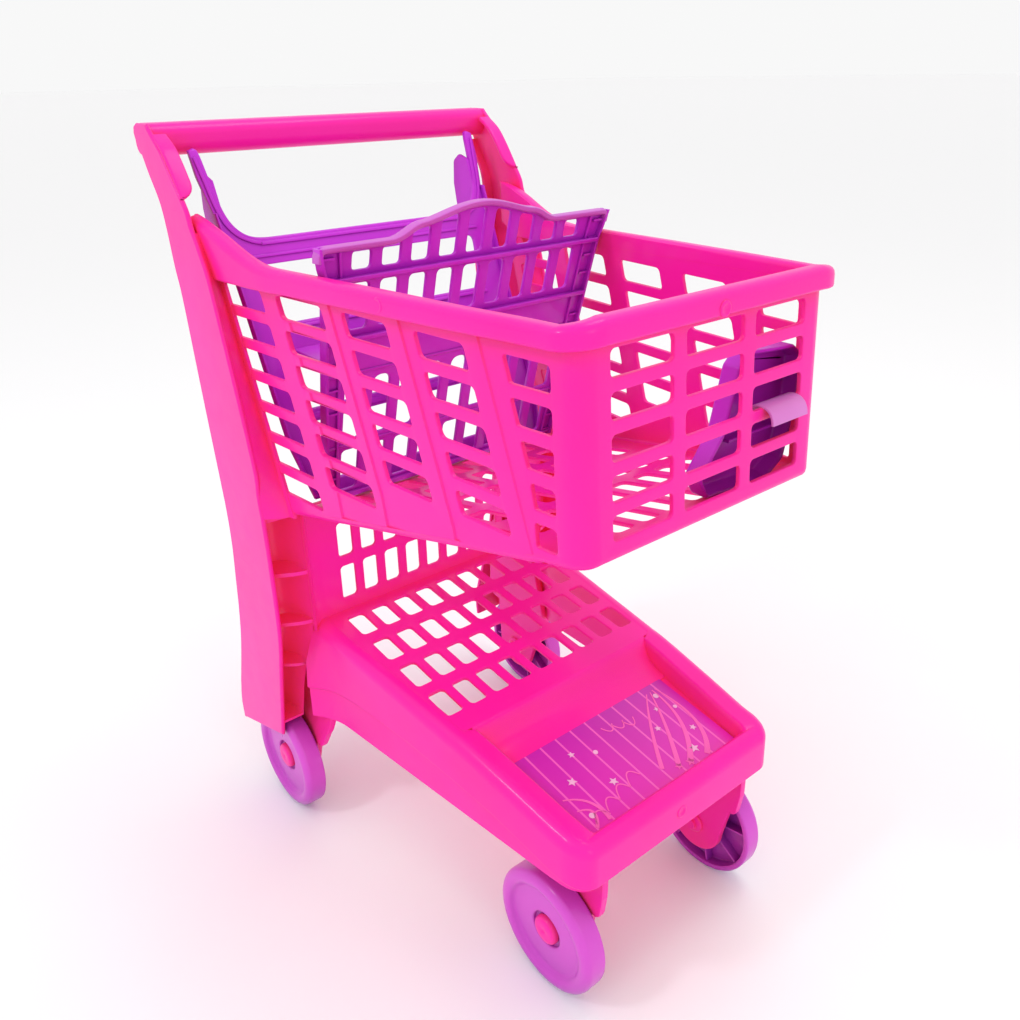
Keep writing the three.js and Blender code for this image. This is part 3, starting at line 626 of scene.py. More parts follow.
def column_front():
    parts = []
    # upper transition: from the plate's front edge inwards to the basket wall
    rings = []
    zs = [491.5, 490, 488, 484, 476, 465, 455, 440, 420, 400, 380, 360, 340, 325, 311, 300, 293]
    for z in zs:
        xa = fx_at(z); xb = wx_at(z)
        ya = YO; yb = -(wallY(xb)) + 0.3
        A = Vector((xa - 0.2, ya + 1.2)); B = Vector((xb + 4, yb + 0.2 - 0.0))
        mid1 = A.lerp(B, 0.5) + Vector((0.6, 0.0))
        ring = [(A.x - 1.2, YO + 0.35), (A.x - 0.25, YO + 0.75), (A.x, A.y + 0.3), (mid1.x, mid1.y), (B.x - 1.2, B.y - 0.9), (B.x + 4, B.y - 0.2), (B.x + 4, B.y + 2.2), (B.x - 3, B.y + 2.2), (mid1.x - 3.2, mid1.y + 0.6), (A.x - 3.4, A.y + 1)]
        rings.append([(x, y, z) for x, y in ring])
    parts.append(loft(rings))
    # deep channel in the foot: three curved webs cross it, the inner side sweeps forward
    D = 25.0
    webs = [(296, 8), (239, 1.6), (194, 1.6), (153, 1.6), (97.5, 1.7)]
    def depth(z, t):
        """setback of the face at height z; t runs from 0 at the inner edge to 1 at the plate"""
        cell = D * math.sin(min(1.0, t / 0.55) * math.pi / 2) ** 0.9
        web = 0.6 + 15.0 * t ** 1.5
        if z > 280: web = 0.6 + 3.0 * t
        if z < 100: web = 0.8
        k = min((abs(z - c) - h) / 1.0 for c, h in webs)
        k = 0.0 if k < 0 else min(1.0, k)
        k = k * k * (3 - 2 * k)
        return lerp(min(web, cell + 0.6), cell + 0.6, k)
    zs = []
    z = 292.0
    while z > 95.6:
        near = any(abs(z - c) < h + 1.6 for c, h in webs)
        zs.append(z); z -= 0.4 if near else 3.0
    zs.append(95.4)
    ts = [1.0, 0.985, 0.95, 0.9, 0.8, 0.68, 0.55, 0.42, 0.3, 0.2, 0.12, 0.06, 0.02, 0.0]
    rings = []
    for z in zs:
        xf = fx_at(z); yi = -interp([(97, 129), (130, 128), (150, 126), (190, 118.5), (300, 118)], z)
        yp = YO + 2.6
        f = [(xf - 0.5, YO + 0.7), (xf - 0.35, YO + 1.5)] + [(xf - max(0.5, depth(z, t) * (1 if t < 0.97 else (1.0 - t) / 0.03 * 0.9 + 0.1 if t > 0.985 else 1)), lerp(yi, yp, t)) for t in ts]
        bk = [(x - 3.0, y) for x, y in f][::-1]
        rings.append([(x, y, z) for x, y in f + bk])
    parts.append(loft(rings))
    return parts

def handle():
    parts = []
    prof = []
    x0, x1, z0, z1 = -275, -246.5, 538, 560
    r = 8.5
    for cx, cz, a0 in ((x1 - r, z1 - r, 0), (x0 + r, z1 - r, 90), (x0 + r, z0 + r, 180), (x1 - r, z0 + r, 270)):
        for i in range(7):
            a = math.radians(a0 + 90 * i / 6)
            prof.append((cx + r * math.cos(a), cz + r * math.sin(a)))
    cx, cz = (x0 + x1) / 2, (z0 + z1) / 2
    rings = []
    ends = [(-149.4, 0.80), (-148.9, 0.90), (-147.8, 0.97), (-146, 1.0), (-132, 1.0)]
    ys = ends + [(-100, 1), (-50, 1), (0, 1), (50, 1), (100, 1)] + [(-y, s) for y, s in ends[::-1]]
    for y, s in ys:
        rings.append([(cx + (x - cx) * s, y, cz + (z - cz) * s) for x, z in prof])
    parts.append(loft(rings))
    return parts

def gusset():
    """inset flap under the handle's end, its lower end rounded"""
    line = smooth([(-243, 551), (-231, 543.5), (-222.5, 534.5), (-213.5, 522.5), (-206.5, 512.5)], 6)
    n = len(line)
    yb = []
    for i in range(n):
        f = i / (n - 1)
        yb.append(-137.2 - 10.5 * max(0, (f - 0.74) / 0.26) ** 2.4 - 1.5 * max(0, 0.3 - f))
    line = [(x - 0.9, z - 0.9) for x, z in line]
    return strip(line, 3.6, YO + 1.0, yb, 1.5, side=1)

col_parts = column() + column_front() + [gusset()]
cols = both(merge(col_parts))
cols_o = obj("side_columns", *merge([cols] + handle()), PINK, "cart")
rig.replaces(cols_o, *both_names("column_plate"), *both_names("column_rear_web"), *both_names("column_upper_web"), *both_names("handle_gusset"), *both_names("column_front_web"), "handle_bar")
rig.slot(cols_o, "body")

# ---------------------------------------------------------------- back panel
def back_panel():
    holes = []
    for c in range(-4, 5):
        for a, b_ in ((202, 231), (240, 269)):
            holes.append(rrect(c * 20.7 - 6.5, a, c * 20.7 + 6.5, b_, 3.0))
    n = 8
    ymax = 104.0
    ss = [ymax + 22 * i / n for i in range(n + 1)]
    out = [(-s, 186) for s in ss[::-1]] + [(s, 186) for s in ss] + [(s, 292) for s in ss[::-1]] + [(-s, 292) for s in ss]
    lines = [[(k * s, 187), (k * s, 291)] for s in ss for k in (-1, 1)]
    def fn(u, v, w):
        a = abs(u)
        if a <= ymax: return (-146.7 - w, u, v)
        f = (a - ymax) / 22 * math.pi / 2
        R = 14.0
        return (-146.7 - w - 0.0 + (R - w * 0) * (1 - math.cos(f)) * 0.35, math.copysign(ymax + (R + w * 0.3) * math.sin(f), u), v)
    return slab(out, holes, 3.2, 0.9, fn, lines, bo=0.3)
back_o = obj("back_lattice", *back_panel(), PINK, "cart")
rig.replaces(back_o, "back_panel", *both_names("back_corner"))
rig.slot(back_o, "body")

# ---------------------------------------------------------------- tray
TXC, TYC, TCL = 119.0, 82.5, 28.0
TSF = TXC + TCL
TMID = TSF + TYC
TFX = 141.5
def tray_pt(s, d, z):
    """d is the distance outwards from the skirt's face"""
    m = 1
    if s > TMID: s = 2 * TMID - s; m = -1
    d, df = d if isinstance(d, tuple) else (d, d)
    if s <= TXC:
        fl = max(0.0, (-116 - s) / 32) ** 1.9 * 10.5 * max(0.0, min(1.0, (188 - z) / 34)) if s < -116 else 0.0
        return (s, -m * (trayY(s) + d + (fl if d > -6 else 0.0)), z)
    ty = trayY(TXC) + d
    yc = min(TYC, ty - 3.0)
    if s < TSF:
        a = (s - TXC) / TCL * math.pi / 2
        return (TXC + (TFX + df - TXC) * math.sin(a), -m * (yc + (ty - yc) * math.cos(a)), z)
    return (TFX + df, -m * yc * (TMID - s) / (TMID - TSF), z)
pocketZ = lambda x: 152 - 0.16 * (x - 49)
RIMTOP = [(-148.5, 192.2), (0, 174.5), (14, 172.8), (24, 172.0), (40, 169.5), (80, 162), (112, 155.5), (148, 151.5), (300, 150.5)]
def tray_shell():
    st = [-148.5, -147, -141, -134, -127, -120, -112, -104, -96, -80, -60, -30, 0, 10, 14, 16.5, 18.5, 21, 24, 30, 40, 60, 80, 100, 112, TXC]
    st += [TXC + TCL * i / 12 for i in range(1, 13)] + [TSF + 25, TSF + 50, TMID]
    full = st + [2 * TMID - s for s in st[:-1][::-1]]
    rings = []
    for s in full:
        q = min(s, 2 * TMID - s)
        x = q if q < TXC else lerp(TXC, TFX, min(1, (q - TXC) / TCL))
        zt = interp(RIMTOP, q)
        pk = max(0, min(1, (q - 17.5) / 3.0))
        zb = interp([(-147, 104), (-40, 108), (112, 113.5), (148, 117), (300, 117)], q)
        zl = interp([(-147, 133), (-90, 139), (-40, 140), (20, 136), (60, 132), (100, 124), (112, 121.5), (130, 119), (148, 118.6), (300, 118.6)], q)
        zdeck = deckZ(x)
        fl = pocketZ(x) - 0.5
        R = 9.8
        IN = lerp(14.2, 22.6, pk)
        J = lambda k: (-IN + k, -14.6 + k)
        inA = (J(0), lerp(zdeck - 2.8, fl - 2.5, pk))
        inB = (J(0.1), lerp(zdeck - 0.6, fl + 2.0, pk))
        inC = (J(0.9), lerp(zdeck - 0.1, zt - 5.0, pk))
        inD = (J(2.2), lerp(zdeck, zt - 1.7, pk))
        inE = (J(3.9), lerp(zt, zt - 0.7, pk))
        prof = [inA, inB, inC, inD, inE]
        for k in range(0, 7):
            a = math.pi / 2 * k / 6
            prof.append((-R + R * math.sin(a), zt - R + R * math.cos(a)))
        prof += [(0.3, (zt - R + zl) / 2), (0.6, zl + 1.4), (0.35, zl + 0.4), (-0.9, zl - 0.5), (-1.1, zl - 1.6 if zl - 1.6 > zb + 1 else zb + 1), (-0.9, zb + 0.8), (-1.5, zb), (-3.0, zb + 0.4),
                 (-3.4, zl), (-3.4, zt - R), (-R * 0.75, zt - 5.5), (J(3.0), zt - 6.0 if pk < .5 else zt - 7)]
        rings.append([tray_pt(s, d, z) for d, z in prof])
    return loft(rings)

def tray_deck():
    holes = []
    for r in range(4):
        for c in range(-4, 5):
            a = -137 + r * 37
            y0 = c * 21.7 - 7
            holes.append(rrect(a, y0, a + 26, y0 + 14, 3.2))
    hy = lambda x: trayY(x) - 12.0
    out = [(-147, -hy(-147)), (18.6, -hy(18)), (18.6, hy(18)), (-147, hy(-147))]
    return slab(out, holes, 3, 0.9, lambda u, v, w: (u, v, deckZ(u) - w), bo=0.3)

def pocket():
    parts = []
    hy = lambda x: trayY(x) - 19.5
    # step down from the deck, its top edge rounded
    prof = [(16.5, 169), (16.5, 171.95), (18.6, 171.8), (20.2, 171.2), (21.8, 169.9), (23.6, 167.4), (26.0, 163.6), (29.0, 160.0), (33.0, 157.0), (38.0, 154.9), (44.0, 153.4), (49.5, 152.2), (49.5, 149.5), (36, 151.5), (24, 158), (19.0, 166)]
    rings = [[(x, y, z) for x, z in prof] for y in (-hy(18) - 1, -60, 0, 60, hy(18) + 1)]
    parts.append(loft(rings))
    out = [(40, -hy(40)), (118, -hy(118)), (129, -76), (129, 76), (118, hy(118)), (40, hy(40))]
    parts.append(slab(out, [], 3, 0.5, lambda u, v, w: (u, v, pocketZ(u) - 0.8 - w)))
    return parts
tray_o = obj("lower_tray", *merge([tray_shell(), tray_deck(), ring_boss(141.4, -5, 133.5, 4.8, 1.0, (1, 0, 0.12))] + pocket()), PINK, "cart")
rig.replaces(tray_o, "tray_deck", *both_names("tray_skirt"), "tray_nose", *both_names("tray_corner"), "pocket_floor", "pocket_step", *both_names("pocket_side"))
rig.slot(tray_o, "body")

# ---------------------------------------------------------------- forks
def fork_front():
    y0 = -(92.5 - 17) + 1.2
    pts = arcp(97.7, 46.2, 24, 180, 360, 24) + rounded([(134, 76), (137, 97), (137, 116), (60, 112), (68, 84)], [6, 3, 0, 0, 8], 4)
    return slab(pts, [], 6, 1.2, lambda u, v, w: (u, y0 + w, v))
def fork_rear():
    y1 = -(144.7 - 17) + 1.2
    pts = arcp(-185.3, 46.2, 24, 180, 335, 22) + rounded([(-144, 71), (-134, 92), (-133, 112), (-143, 150), (-152, 186), (-207, 186), (-212, 150), (-215, 95)], [8, 8, 8, 8, 0, 0, 8, 10], 4)
    return slab(pts, [], 6, 1.2, lambda u, v, w: (u, y1 + w + max(0.0, min(1.0, (v - 88) / 16)) * 9.5, v))
fork_o = obj("wheel_legs", *merge([both(fork_front()), both(fork_rear())]), PINK, "cart")
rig.replaces(fork_o, *both_names("fork_front"), *both_names("fork_rear"))
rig.slot(fork_o, "body")

# ---------------------------------------------------------------- wheels
def wheel_parts(x, y, sg):
    R = 46.2
    def fil(cx, cy, r, a0, a1, n): return arcp(cx, cy, r, a0, a1, n)
    prof = [(4.6, 7), (12.4, 7), (13.0, 6.6), (13.4, 5.0), (14.2, 4.4), (15.4, 4.2), (31.5, 4.2), (33.2, 3.9), (34.4, 3.0)]
    prof += [(35.3, 1.7), (36.6, 0.7), (38.2, 0.15), (39.8, 0.0), (41.5, 0.25), (43.2, 0.9), (44.6, 1.9), (45.6, 3.2), (R, 5.0)]
    prof += [(R, 15.4), (R - 0.3, 16.4), (R - 1.2, 17), (R - 3.4, 17), (R - 4.2, 16.6), (R - 4.5, 15.8), (R - 4.7, 9.0), (R - 6.0, 8.2), (12.5, 8.2), (11, 9), (10.5, 15.5), (9.8, 16), (4.6, 16), (4.6, 7)]
    parts = [lathe_y(prof[:-1], x, y, R, 128, sg, close=True)]
    for i in range(8):
        a = 2 * math.pi * i / 8 + 0.2
        ca, sa = math.cos(a), math.sin(a)
        ring = []
        for rr in (10, R - 4.3):
            q = [(-1.2, 8), (-1.0, 14.2), (-0.6, 14.8), (0.6, 14.8), (1.0, 14.2), (1.2, 8)]
            ring.append([(x + ca * rr - sa * w, y + sg * h, R + sa * rr + ca * w) for w, h in q])
        parts.append(loft(ring))
    return merge(parts)
def pin_parts(x, y, sg, L):
    R = 46.2
    prof = [(0.001, 2.3), (1.2, 2.35), (2.0, 1.9), (5.5, 1.5), (8.2, 1.7), (9.6, 2.3), (10.4, 3.3), (10.8, 4.8), (10.8, 6.4), (4.2, 6.4), (4.2, L), (0.001, L)]
    parts = [lathe_y(prof, x, y, R, 64, sg, close=False)]
    parts.append(lathe_y([(8.4, 17 + 1.2 + 6.2), (8.4, 17 + 1.2 + 7.4), (7.6, 17 + 1.2 + 8.4), (5.2, 17 + 1.2 + 8.9), (4.0, 17 + 1.2 + 8.9), (4.0, 17 + 7.4)], x, y, R, 48, sg, close=True))
    return merge(parts)
pins = []
for nm, x, y in (("front", 97.7, 92.5), ("rear", -185.3, 144.7)):
    for side, sg in (("right", 1), ("left", -1)):
        o = obj(f"wheel_look_{nm}_{side}", *wheel_parts(x, -y * sg, sg), WHEEL, f"{nm}_{side}_wheel")
        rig.replaces(o, f"wheel_{nm}_{side}"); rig.slot(o, "wheel")
        pins.append(pin_parts(x, -y * sg, sg, 17 + 1.2 + 6 + 5))
pin_o = obj("axle_pins", *merge(pins), PINK, "cart")
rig.replaces(pin_o, *both_names("axle_pin_front"), *both_names("axle_pin_rear"), *both_names("axle_clip_front"), *both_names("axle_clip_rear"))
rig.slot(pin_o, "body")

# ---------------------------------------------------------------- gate
def gate():
    L = [(-109, 300.5), (-117, 340), (-119, 440), (-121, 500), (-125, 524), (-125.5, 541), (-119, 541.5), (-116.5, 524), (-114.5, 508), (-112, 497), (-108, 489.5), (-102, 484), (-94, 481), (-84, 480)]
    top = smooth(L[5:], 3)
    out = L[:5] + top
    out = out + [(-y, z) for y, z in out[::-1]]
    def M(p): return [(-y, z) for y, z in p]
    win = rounded([(-93, 421), (-99, 462), (99, 462), (93, 421)], [8, 6, 6, 8], 5)
    leg = rounded([(5, 361), (97, 361), (98, 384), (86, 397), (16, 397), (5, 384)], [3, 3, 9, 9, 9, 9], 5)
    lo = rounded([(5, 311), (93, 311), (96, 352), (5, 352)], 4, 5)
    holes = [win, leg, M(leg), lo, M(lo)]
    parts = [slab(out, holes, 4.2, 1.2, lambda u, v, w: (gateX(v) - w, u, v), bo=0.8)]
    # stiffening beads on the front face: along the cut-out and the bars, and the side flanges
    def bead(line, h, wd, off=0.0):
        rings = []
        n = len(line)
        for i, (y, z) in enumerate(line):
            a = line[max(0, i - 1)]; c = line[min(n - 1, i + 1)]
            dy, dz = c[0] - a[0], c[1] - a[1]; l = math.hypot(dy, dz) or 1
            ny, nz = -dz / l, dy / l
            q = [(-wd, -0.6), (-wd * 0.9, h * 0.75), (-wd * 0.5, h), (wd * 0.5, h), (wd * 0.9, h * 0.75), (wd, -0.6)]
            rings.append([(gateX(z + nz * k) + hh + off, y + ny * k, z + nz * k) for k, hh in q])
        return loft(rings)
    edge = [(-123, 537), (-120.5, 520), (-118.5, 505), (-115, 493), (-109, 485), (-101, 480), (-92, 477.3), (-84, 476.8), (0, 476.8), (84, 476.8), (92, 477.3), (101, 480), (109, 485), (115, 493), (118.5, 505), (120.5, 520), (123, 537)]
    parts.append(bead(smooth(edge, 3), 1.4, 1.3))
    parts.append(bead([(-104, 468.5), (104, 468.5)], 1.2, 1.1))
    for s in (-1, 1):
        fl = [(s * 118.3, 442), (s * 116, 345), (s * 109, 304)]
        parts.append(bead(smooth([(s * 120.5, 500)] + fl, 3), 4.5, 1.2))
    for sg in (-1, 1):
        fl = rounded([(gateX(480) - 1, 480), (gateX(500) - 1, 500), (gateX(521) - 1, 521), (gateX(521) - 12, 524.5), (-250, 519), (-251, 500), (-247, 480)], [0, 0, 0, 3, 5, 5, 3], 4)
        f0 = 113.4 if sg > 0 else -116.4
        parts.append(slab(fl, [], 3.0, 0.7, lambda u, v, w, f0=f0: (u, f0 + w, v)))
    parts.append(bead([(-96, 418.2), (96, 418.2)], 1.6, 1.2))
    parts.append(bead([(-96, 356.5), (96, 356.5)], 1.4, 2.0))
    return merge(parts)
gate_o = obj("gate_look", *gate(), PURPLE, "gate")
ledge = slab(rounded([(-94, 401), (94, 401), (94, 419), (-94, 419)], 2, 3), [], 4, 0.8, lambda u, v, w: (gateX(v) - 4.5 - w, u, v))
ledge_o = obj("gate_ledge_look", *ledge, PURPLE, "gate")
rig.replaces(gate_o, "rear_gate", *both_names("gate_hinge_pin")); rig.slot(gate_o, "seat")
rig.replaces(ledge_o, "gate_ledge"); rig.slot(ledge_o, "seat")

# ---------------------------------------------------------------- flap
def flap_top(y):
    a = abs(y)
    if a < 46: return 502.5 + 9.0 * math.cos(a / 46 * math.pi / 2) ** 1.3
    if a < 70: return 494 + 8.5 * (0.5 + 0.5 * math.cos((a - 46) / 24 * math.pi))
    return 494.0
LIP = []
def flap():
    ys = [124 - i * 2.0 for i in range(125)]
    top = [(y, flap_top(y)) for y in ys if abs(y) <= 122] 
    out = [(-110, 301.5), (110, 301.5), (115.6, 440), (117.2, 470), (119.5, 480.5), (122, 492)] + [t for t in top if abs(t[0]) <= 121] + [(-122, 492), (-119.5, 480.5), (-117.2, 470), (-115.6, 440)]
    holes = []
    for c in range(-4, 5):
        y = c * 22.4
        zt = flap_top(y) - 5.5
        tl = flap_top(y - 7) - 5.5; tr = flap_top(y + 7) - 5.5
        holes.append(rounded([(y - 7, 476.5), (y + 7, 476.5), (y + 7, tr), (y - 7, tl)], 3.0, 4))
        holes.append(rrect(y - 7, 436, y + 7, 467.5, 3.2))
        holes.append(rounded([(y - 7, 352), (y + 7, 352), (y + 7, 398), (y - 7, 398)], [3, 3, 6.8, 6.8], 6))
        holes.append(rrect(y - 7, 309, y + 7, 343, 3.0))
    parts = [slab(out, holes, 3.6, 1.0, lambda u, v, w: (flapX(v) + 0.8 + w, u, v), bo=0.6)]
    def P(y, z, d): return (flapX(z) + d, y, z)
    # top lip: a rounded band that leans forward of the lattice
    path = [(-122.7, 484.2), (-122.9, 488.5), (-121.9, 491.8), (-119.4, 493.7), (-116, 494)] + [(-112 + i * 4, flap_top(-112 + i * 4)) for i in range(57)]
    path += [(-y, z) for y, z in path[:5][::-1]]
    rings = []
    for i, (y, z) in enumerate(path):
        a, c = path[max(0, i - 1)], path[min(len(path) - 1, i + 1)]
        ty_, tz_ = c[0] - a[0], c[1] - a[1]; l = math.hypot(ty_, tz_) or 1
        ny, nz = -tz_ / l, ty_ / l
        q = [(0.2, -4.5), (0, -0.8), (0.6, -0.1), (1.6, 0.2), (7.0, -0.2), (8.2, -0.8), (8.6, -2.0), (8.3, -3.6), (7.2, -4.2), (5, -4.2)]
        rings.append([P(y + ny * h, z + nz * h, d) for d, h in q])
    LIP.append(loft(rings))
    # side flanges with a channel and small webs
    for s in (-1, 1):
        line = smooth([(122.6, 493.2), (119.9, 480.5), (117.4, 470), (115.8, 440), (112.8, 370), (109.6, 303)], 5)
        rings = []
        for y, z in line:
            q = [(0.4, 0), (8.4, 0), (8.8, -0.4), (8.8, -1.8), (8.4, -2.2), (0.4, -2.2)]
            rings.append([P(s * (y + k), z, d) for d, k in q])
        parts.append(loft(rings))
        for z in (486, 473, 460, 446, 430, 412, 394, 376, 358, 340, 322, 308):
            yo = interp([(303, 108.6), (370, 111.8), (440, 114.6), (470, 116.2), (480, 118.4), (495, 120.5)], z)
            ring = [[P(s * yy, z + h, d) for d, h in ((0.5, -0.8), (6.5, -0.8), (6.5, 0.8), (0.5, 0.8))] for yy in (yo - 9, yo)]
            parts.append(loft(ring))
        # inner wall of the channel
        rings = []
        for z in (491, 470, 440, 370, 303):
            yo = interp([(303, 101), (370, 103), (440, 104.5), (478, 106), (495, 108)], z)
            q = [(0.4, 0), (6.2, 0), (6.6, -0.4), (6.6, -1.4), (6.2, -1.8), (0.4, -1.8)]
            rings.append([P(s * (yo + k), z, d) for d, k in q])
        parts.append(loft(rings))
    # cross ribs
    for z, d1, hh in ((471.5, 9.8, 1.6), (430, 9.8, 1.7), (404, 5.5, 1.2), (347.5, 5.5, 1.2), (304.5, 7.5, 2.2)):
        yo = interp([(303, 108), (370, 111), (440, 114), (478, 115)], z)
        q = [(0.5, -hh), (d1 - 0.6, -hh), (d1, -hh + 0.6), (d1, hh - 0.6), (d1 - 0.6, hh), (0.5, hh)]
        parts.append(loft([[P(y, z + h, d) for d, h in q] for y in (-yo, 0, yo)]))
    return merge(parts)
flap_o = obj("flap_look", *flap(), PURPLE, "flap")
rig.replaces(flap_o, "seat_flap", "flap_rib_upper", "flap_rib_lower"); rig.slot(flap_o, "seat")
# the lip takes the painted-highlight purple
lip_o = obj("flap_lip", *merge(LIP), PURPLE_PAINTED_HIGHLIGHT, "flap"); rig.slot(lip_o, "seat")

def pan():
    out = rounded([(-172, -96), (-112, -96), (-112, 96), (-172, 96)], 3, 4)
    holes = [rrect(-160, -70, -124, -20, 5), rrect(-160, 20, -124, 70, 5)]
    parts = [slab(out, holes, 4, 1.0, lambda u, v, w: (u, v, 406 - w))]
    return merge(parts)
pan_o = obj("pan_look", *pan(), PURPLE, "seat")
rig.replaces(pan_o, "seat_pan"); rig.slot(pan_o, "seat")

# ---------------------------------------------------------------- accessory box
def acc():
    out = rounded([(97, 428), (88, 435), (44, 439), (35, 431), (25, 392), (6, 368), (14, 354), (72, 350), (89, 360), (98, 400)], [5, 6, 6, 5, 10, 5, 5, 8, 8, 12], 5)
    if area2(out) < 0: out = out[::-1]
    # open tray: walls with rounded lips, a floor set well back from the opening
    lv = [(2.5, 114.6), (1.2, 115), (0.2, 116.2), (0, 117.6), (0, 126.2), (0.5, 127.4), (1.4, 127.9), (2.3, 127.4), (2.8, 126.2), (4.2, 119.0), (5.4, 118.0), (7.5, 117.7)]
    parts = [loft([[(x, u, v) for u, v in offset(out, ins)] for ins, x in lv])]
    for a, c, d, e in ((36, 90, 383, 385), (42, 92, 415, 417)):
        ring = [[(x, u, v) for x, v in ((117, d), (123.5, d), (124, d + 0.5), (124, e - 0.5), (123.5, e), (117, e))] for u in (a, c)]
        parts.append(loft(ring))
    return merge(parts)
acc_o = obj("box_look", *acc(), PURPLE, "cart")
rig.replaces(acc_o, "accessory_box"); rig.slot(acc_o, "seat")
def hook():
    ln = smooth([(130.2, 397), (130.2, 403), (131.8, 407), (135.6, 409), (141, 408.8), (145.2, 406.4), (147.6, 402.6), (148.6, 398.4)], 5)
    return strip(ln, 1.9, 44, 78, 0.6, side=-1)
hook_o = obj("hook_look", *hook(), LILAC, "cart")
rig.replaces(hook_o, "accessory_hook"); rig.slot(hook_o, "hook")

# ---------------------------------------------------------------- label (generic pattern)
def label_material():
    m = bpy.data.materials.new("label_print")
    m.use_nodes = True
    nt = m.node_tree; nt.nodes.clear()
    N, L = nt.nodes.new, nt.links.new
    out = N("ShaderNodeOutputMaterial"); p = N("ShaderNodeBsdfPrincipled"); L(p.outputs[0], out.inputs[0])
    tc = N("ShaderNodeTexCoord"); sep = N("ShaderNodeSeparateXYZ"); L(tc.outputs["Object"], sep.inputs[0])
    def M(op, a, b=None, c=None):
        n = N("ShaderNodeMath"); n.operation = op
        for i, v in enumerate((a, b, c)):
            if v is None: continue
            if isinstance(v, (int, float)): n.inputs[i].default_value = v
            else: L(v, n.inputs[i])
        return n.outputs[0]
    X, Y = sep.outputs[0], sep.outputs[1]
    # soft gradient across the label, thin light stripes along the travel direction
    st = M("FRACT", M("MULTIPLY", Y, 70.0))
    stripe = M("LESS_THAN", M("ABSOLUTE", M("SUBTRACT", st, 0.5)), 0.055)
    g = M("MULTIPLY_ADD", X, 9.0, -1.0)
    noise = N("ShaderNodeTexNoise"); noise.inputs["Scale"].default_value = 14; L(tc.outputs["Object"], noise.inputs["Vector"])
    gg = M("ADD", g, M("MULTIPLY", noise.outputs[0], 0.5))
    mix = N("ShaderNodeMix"); mix.data_type = "RGBA"; mix.clamp_factor = True
    L(gg, mix.inputs["Factor"]); mix.inputs["A"].default_value = (0.46, 0.012, 0.44, 1); mix.inputs["B"].default_value = (0.82, 0.020, 0.50, 1)
    mix2 = N("ShaderNodeMix"); mix2.data_type = "RGBA"; L(M("MULTIPLY", stripe, 0.75), mix2.inputs["Factor"])
    L(mix.outputs["Result"], mix2.inputs["A"]); mix2.inputs["B"].default_value = (0.95, 0.16, 0.62, 1)
    L(mix2.outputs["Result"], p.inputs["Base Color"])
    p.inputs["Roughness"].default_value = 0.3
    fine = N("ShaderNodeTexNoise"); fine.inputs["Scale"].default_value = 300; L(tc.outputs["Object"], fine.inputs["Vector"])
    b = N("ShaderNodeBump"); b.inputs["Strength"].default_value = 0.05; b.inputs["Distance"].default_value = 0.0003
    L(fine.outputs[0], b.inputs["Height"]); L(b.outputs[0], p.inputs["Normal"])
    return m
LABEL = label_material()
lab = slab(rounded([(48.6, -74.5), (125.4, -74.6), (125.4, 74.6), (48.6, 74.5)], 1.5, 4), [], 0.8, 0.2, lambda u, v, w: (u, v, pocketZ(u) + 0.4 - w))
lab_o = obj("label_look", *lab, LABEL, "cart")
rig.replaces(lab_o, "pocket_label"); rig.slot(lab_o, "label")

# decorations: small raised-ink stars and swooshes, simple and generic
WHITE = material("ink_white", (0.9, 0.55, 0.78), (0.88, 0.5, 0.74), rough=0.4, coat=0.1)
PALE = material("ink_pink", (0.98, 0.17, 0.58), (0.95, 0.14, 0.54), rough=0.4, coat=0.1)
def on_label(pts, h=0.25):
    n = len(pts)
    V = [(x, y, pocketZ(x) + 0.42) for x, y in pts] + [(x, y, pocketZ(x) + 0.42 + h) for x, y in pts]
    F = [tuple(range(n, 2 * n)), tuple(reversed(range(n)))] + [(i, (i + 1) % n, n + (i + 1) % n, n + i) for i in range(n)]
    return V, F
def star(cx, cy, r, rot=0.3):
    return on_label([(cx + (r if k % 2 == 0 else r * 0.45) * math.cos(rot + math.pi * k / 5), cy + (r if k % 2 == 0 else r * 0.45) * math.sin(rot + math.pi * k / 5)) for k in range(10)])
def swoosh(p0, p1, p2, w0, w1):
    L_, R_ = [], []
    for k in range(17):
        t = k / 16
        x = (1 - t) ** 2 * p0[0] + 2 * t * (1 - t) * p1[0] + t * t * p2[0]
        y = (1 - t) ** 2 * p0[1] + 2 * t * (1 - t) * p1[1] + t * t * p2[1]
        dx = 2 * (1 - t) * (p1[0] - p0[0]) + 2 * t * (p2[0] - p1[0]); dy = 2 * (1 - t) * (p1[1] - p0[1]) + 2 * t * (p2[1] - p1[1])
        l = math.hypot(dx, dy) or 1
        w = lerp(w0, w1, t)
        L_.append((x - dy / l * w, y + dx / l * w)); R_.append((x + dy / l * w, y - dx / l * w))
    return on_label(L_ + R_[::-1])
def ringmark(cx, cy, r):
    return on_label([(cx + r * math.cos(a), cy + r * math.sin(a)) for a in [2 * math.pi * k / 20 for k in range(20)]])
stars = merge([star(112, 42, 4.2), star(98, 57, 2.8, 0.9), star(84, 34, 2.6, 0.1), star(70, 48, 2.4, 0.5), star(100, -28, 3.6, 0.7), star(66, -36, 2.8, 0.2), star(84, -52, 3.8, 1.1), ringmark(60, 58, 2.2), ringmark(76, 62, 1.6), ringmark(74, -20, 1.8), ringmark(112, -60, 2.2)])
comets = [swoosh((54, 60), (92, 62), (119, 30), 0.5, 2.3), swoosh((55, 57), (84, 44), (117, 20), 0.4, 2.0), swoosh((54, 63), (100, 74), (121, 46), 0.4, 2.2), swoosh((55, 53), (76, 32), (112, 8), 0.4, 1.7)]
scallops = []
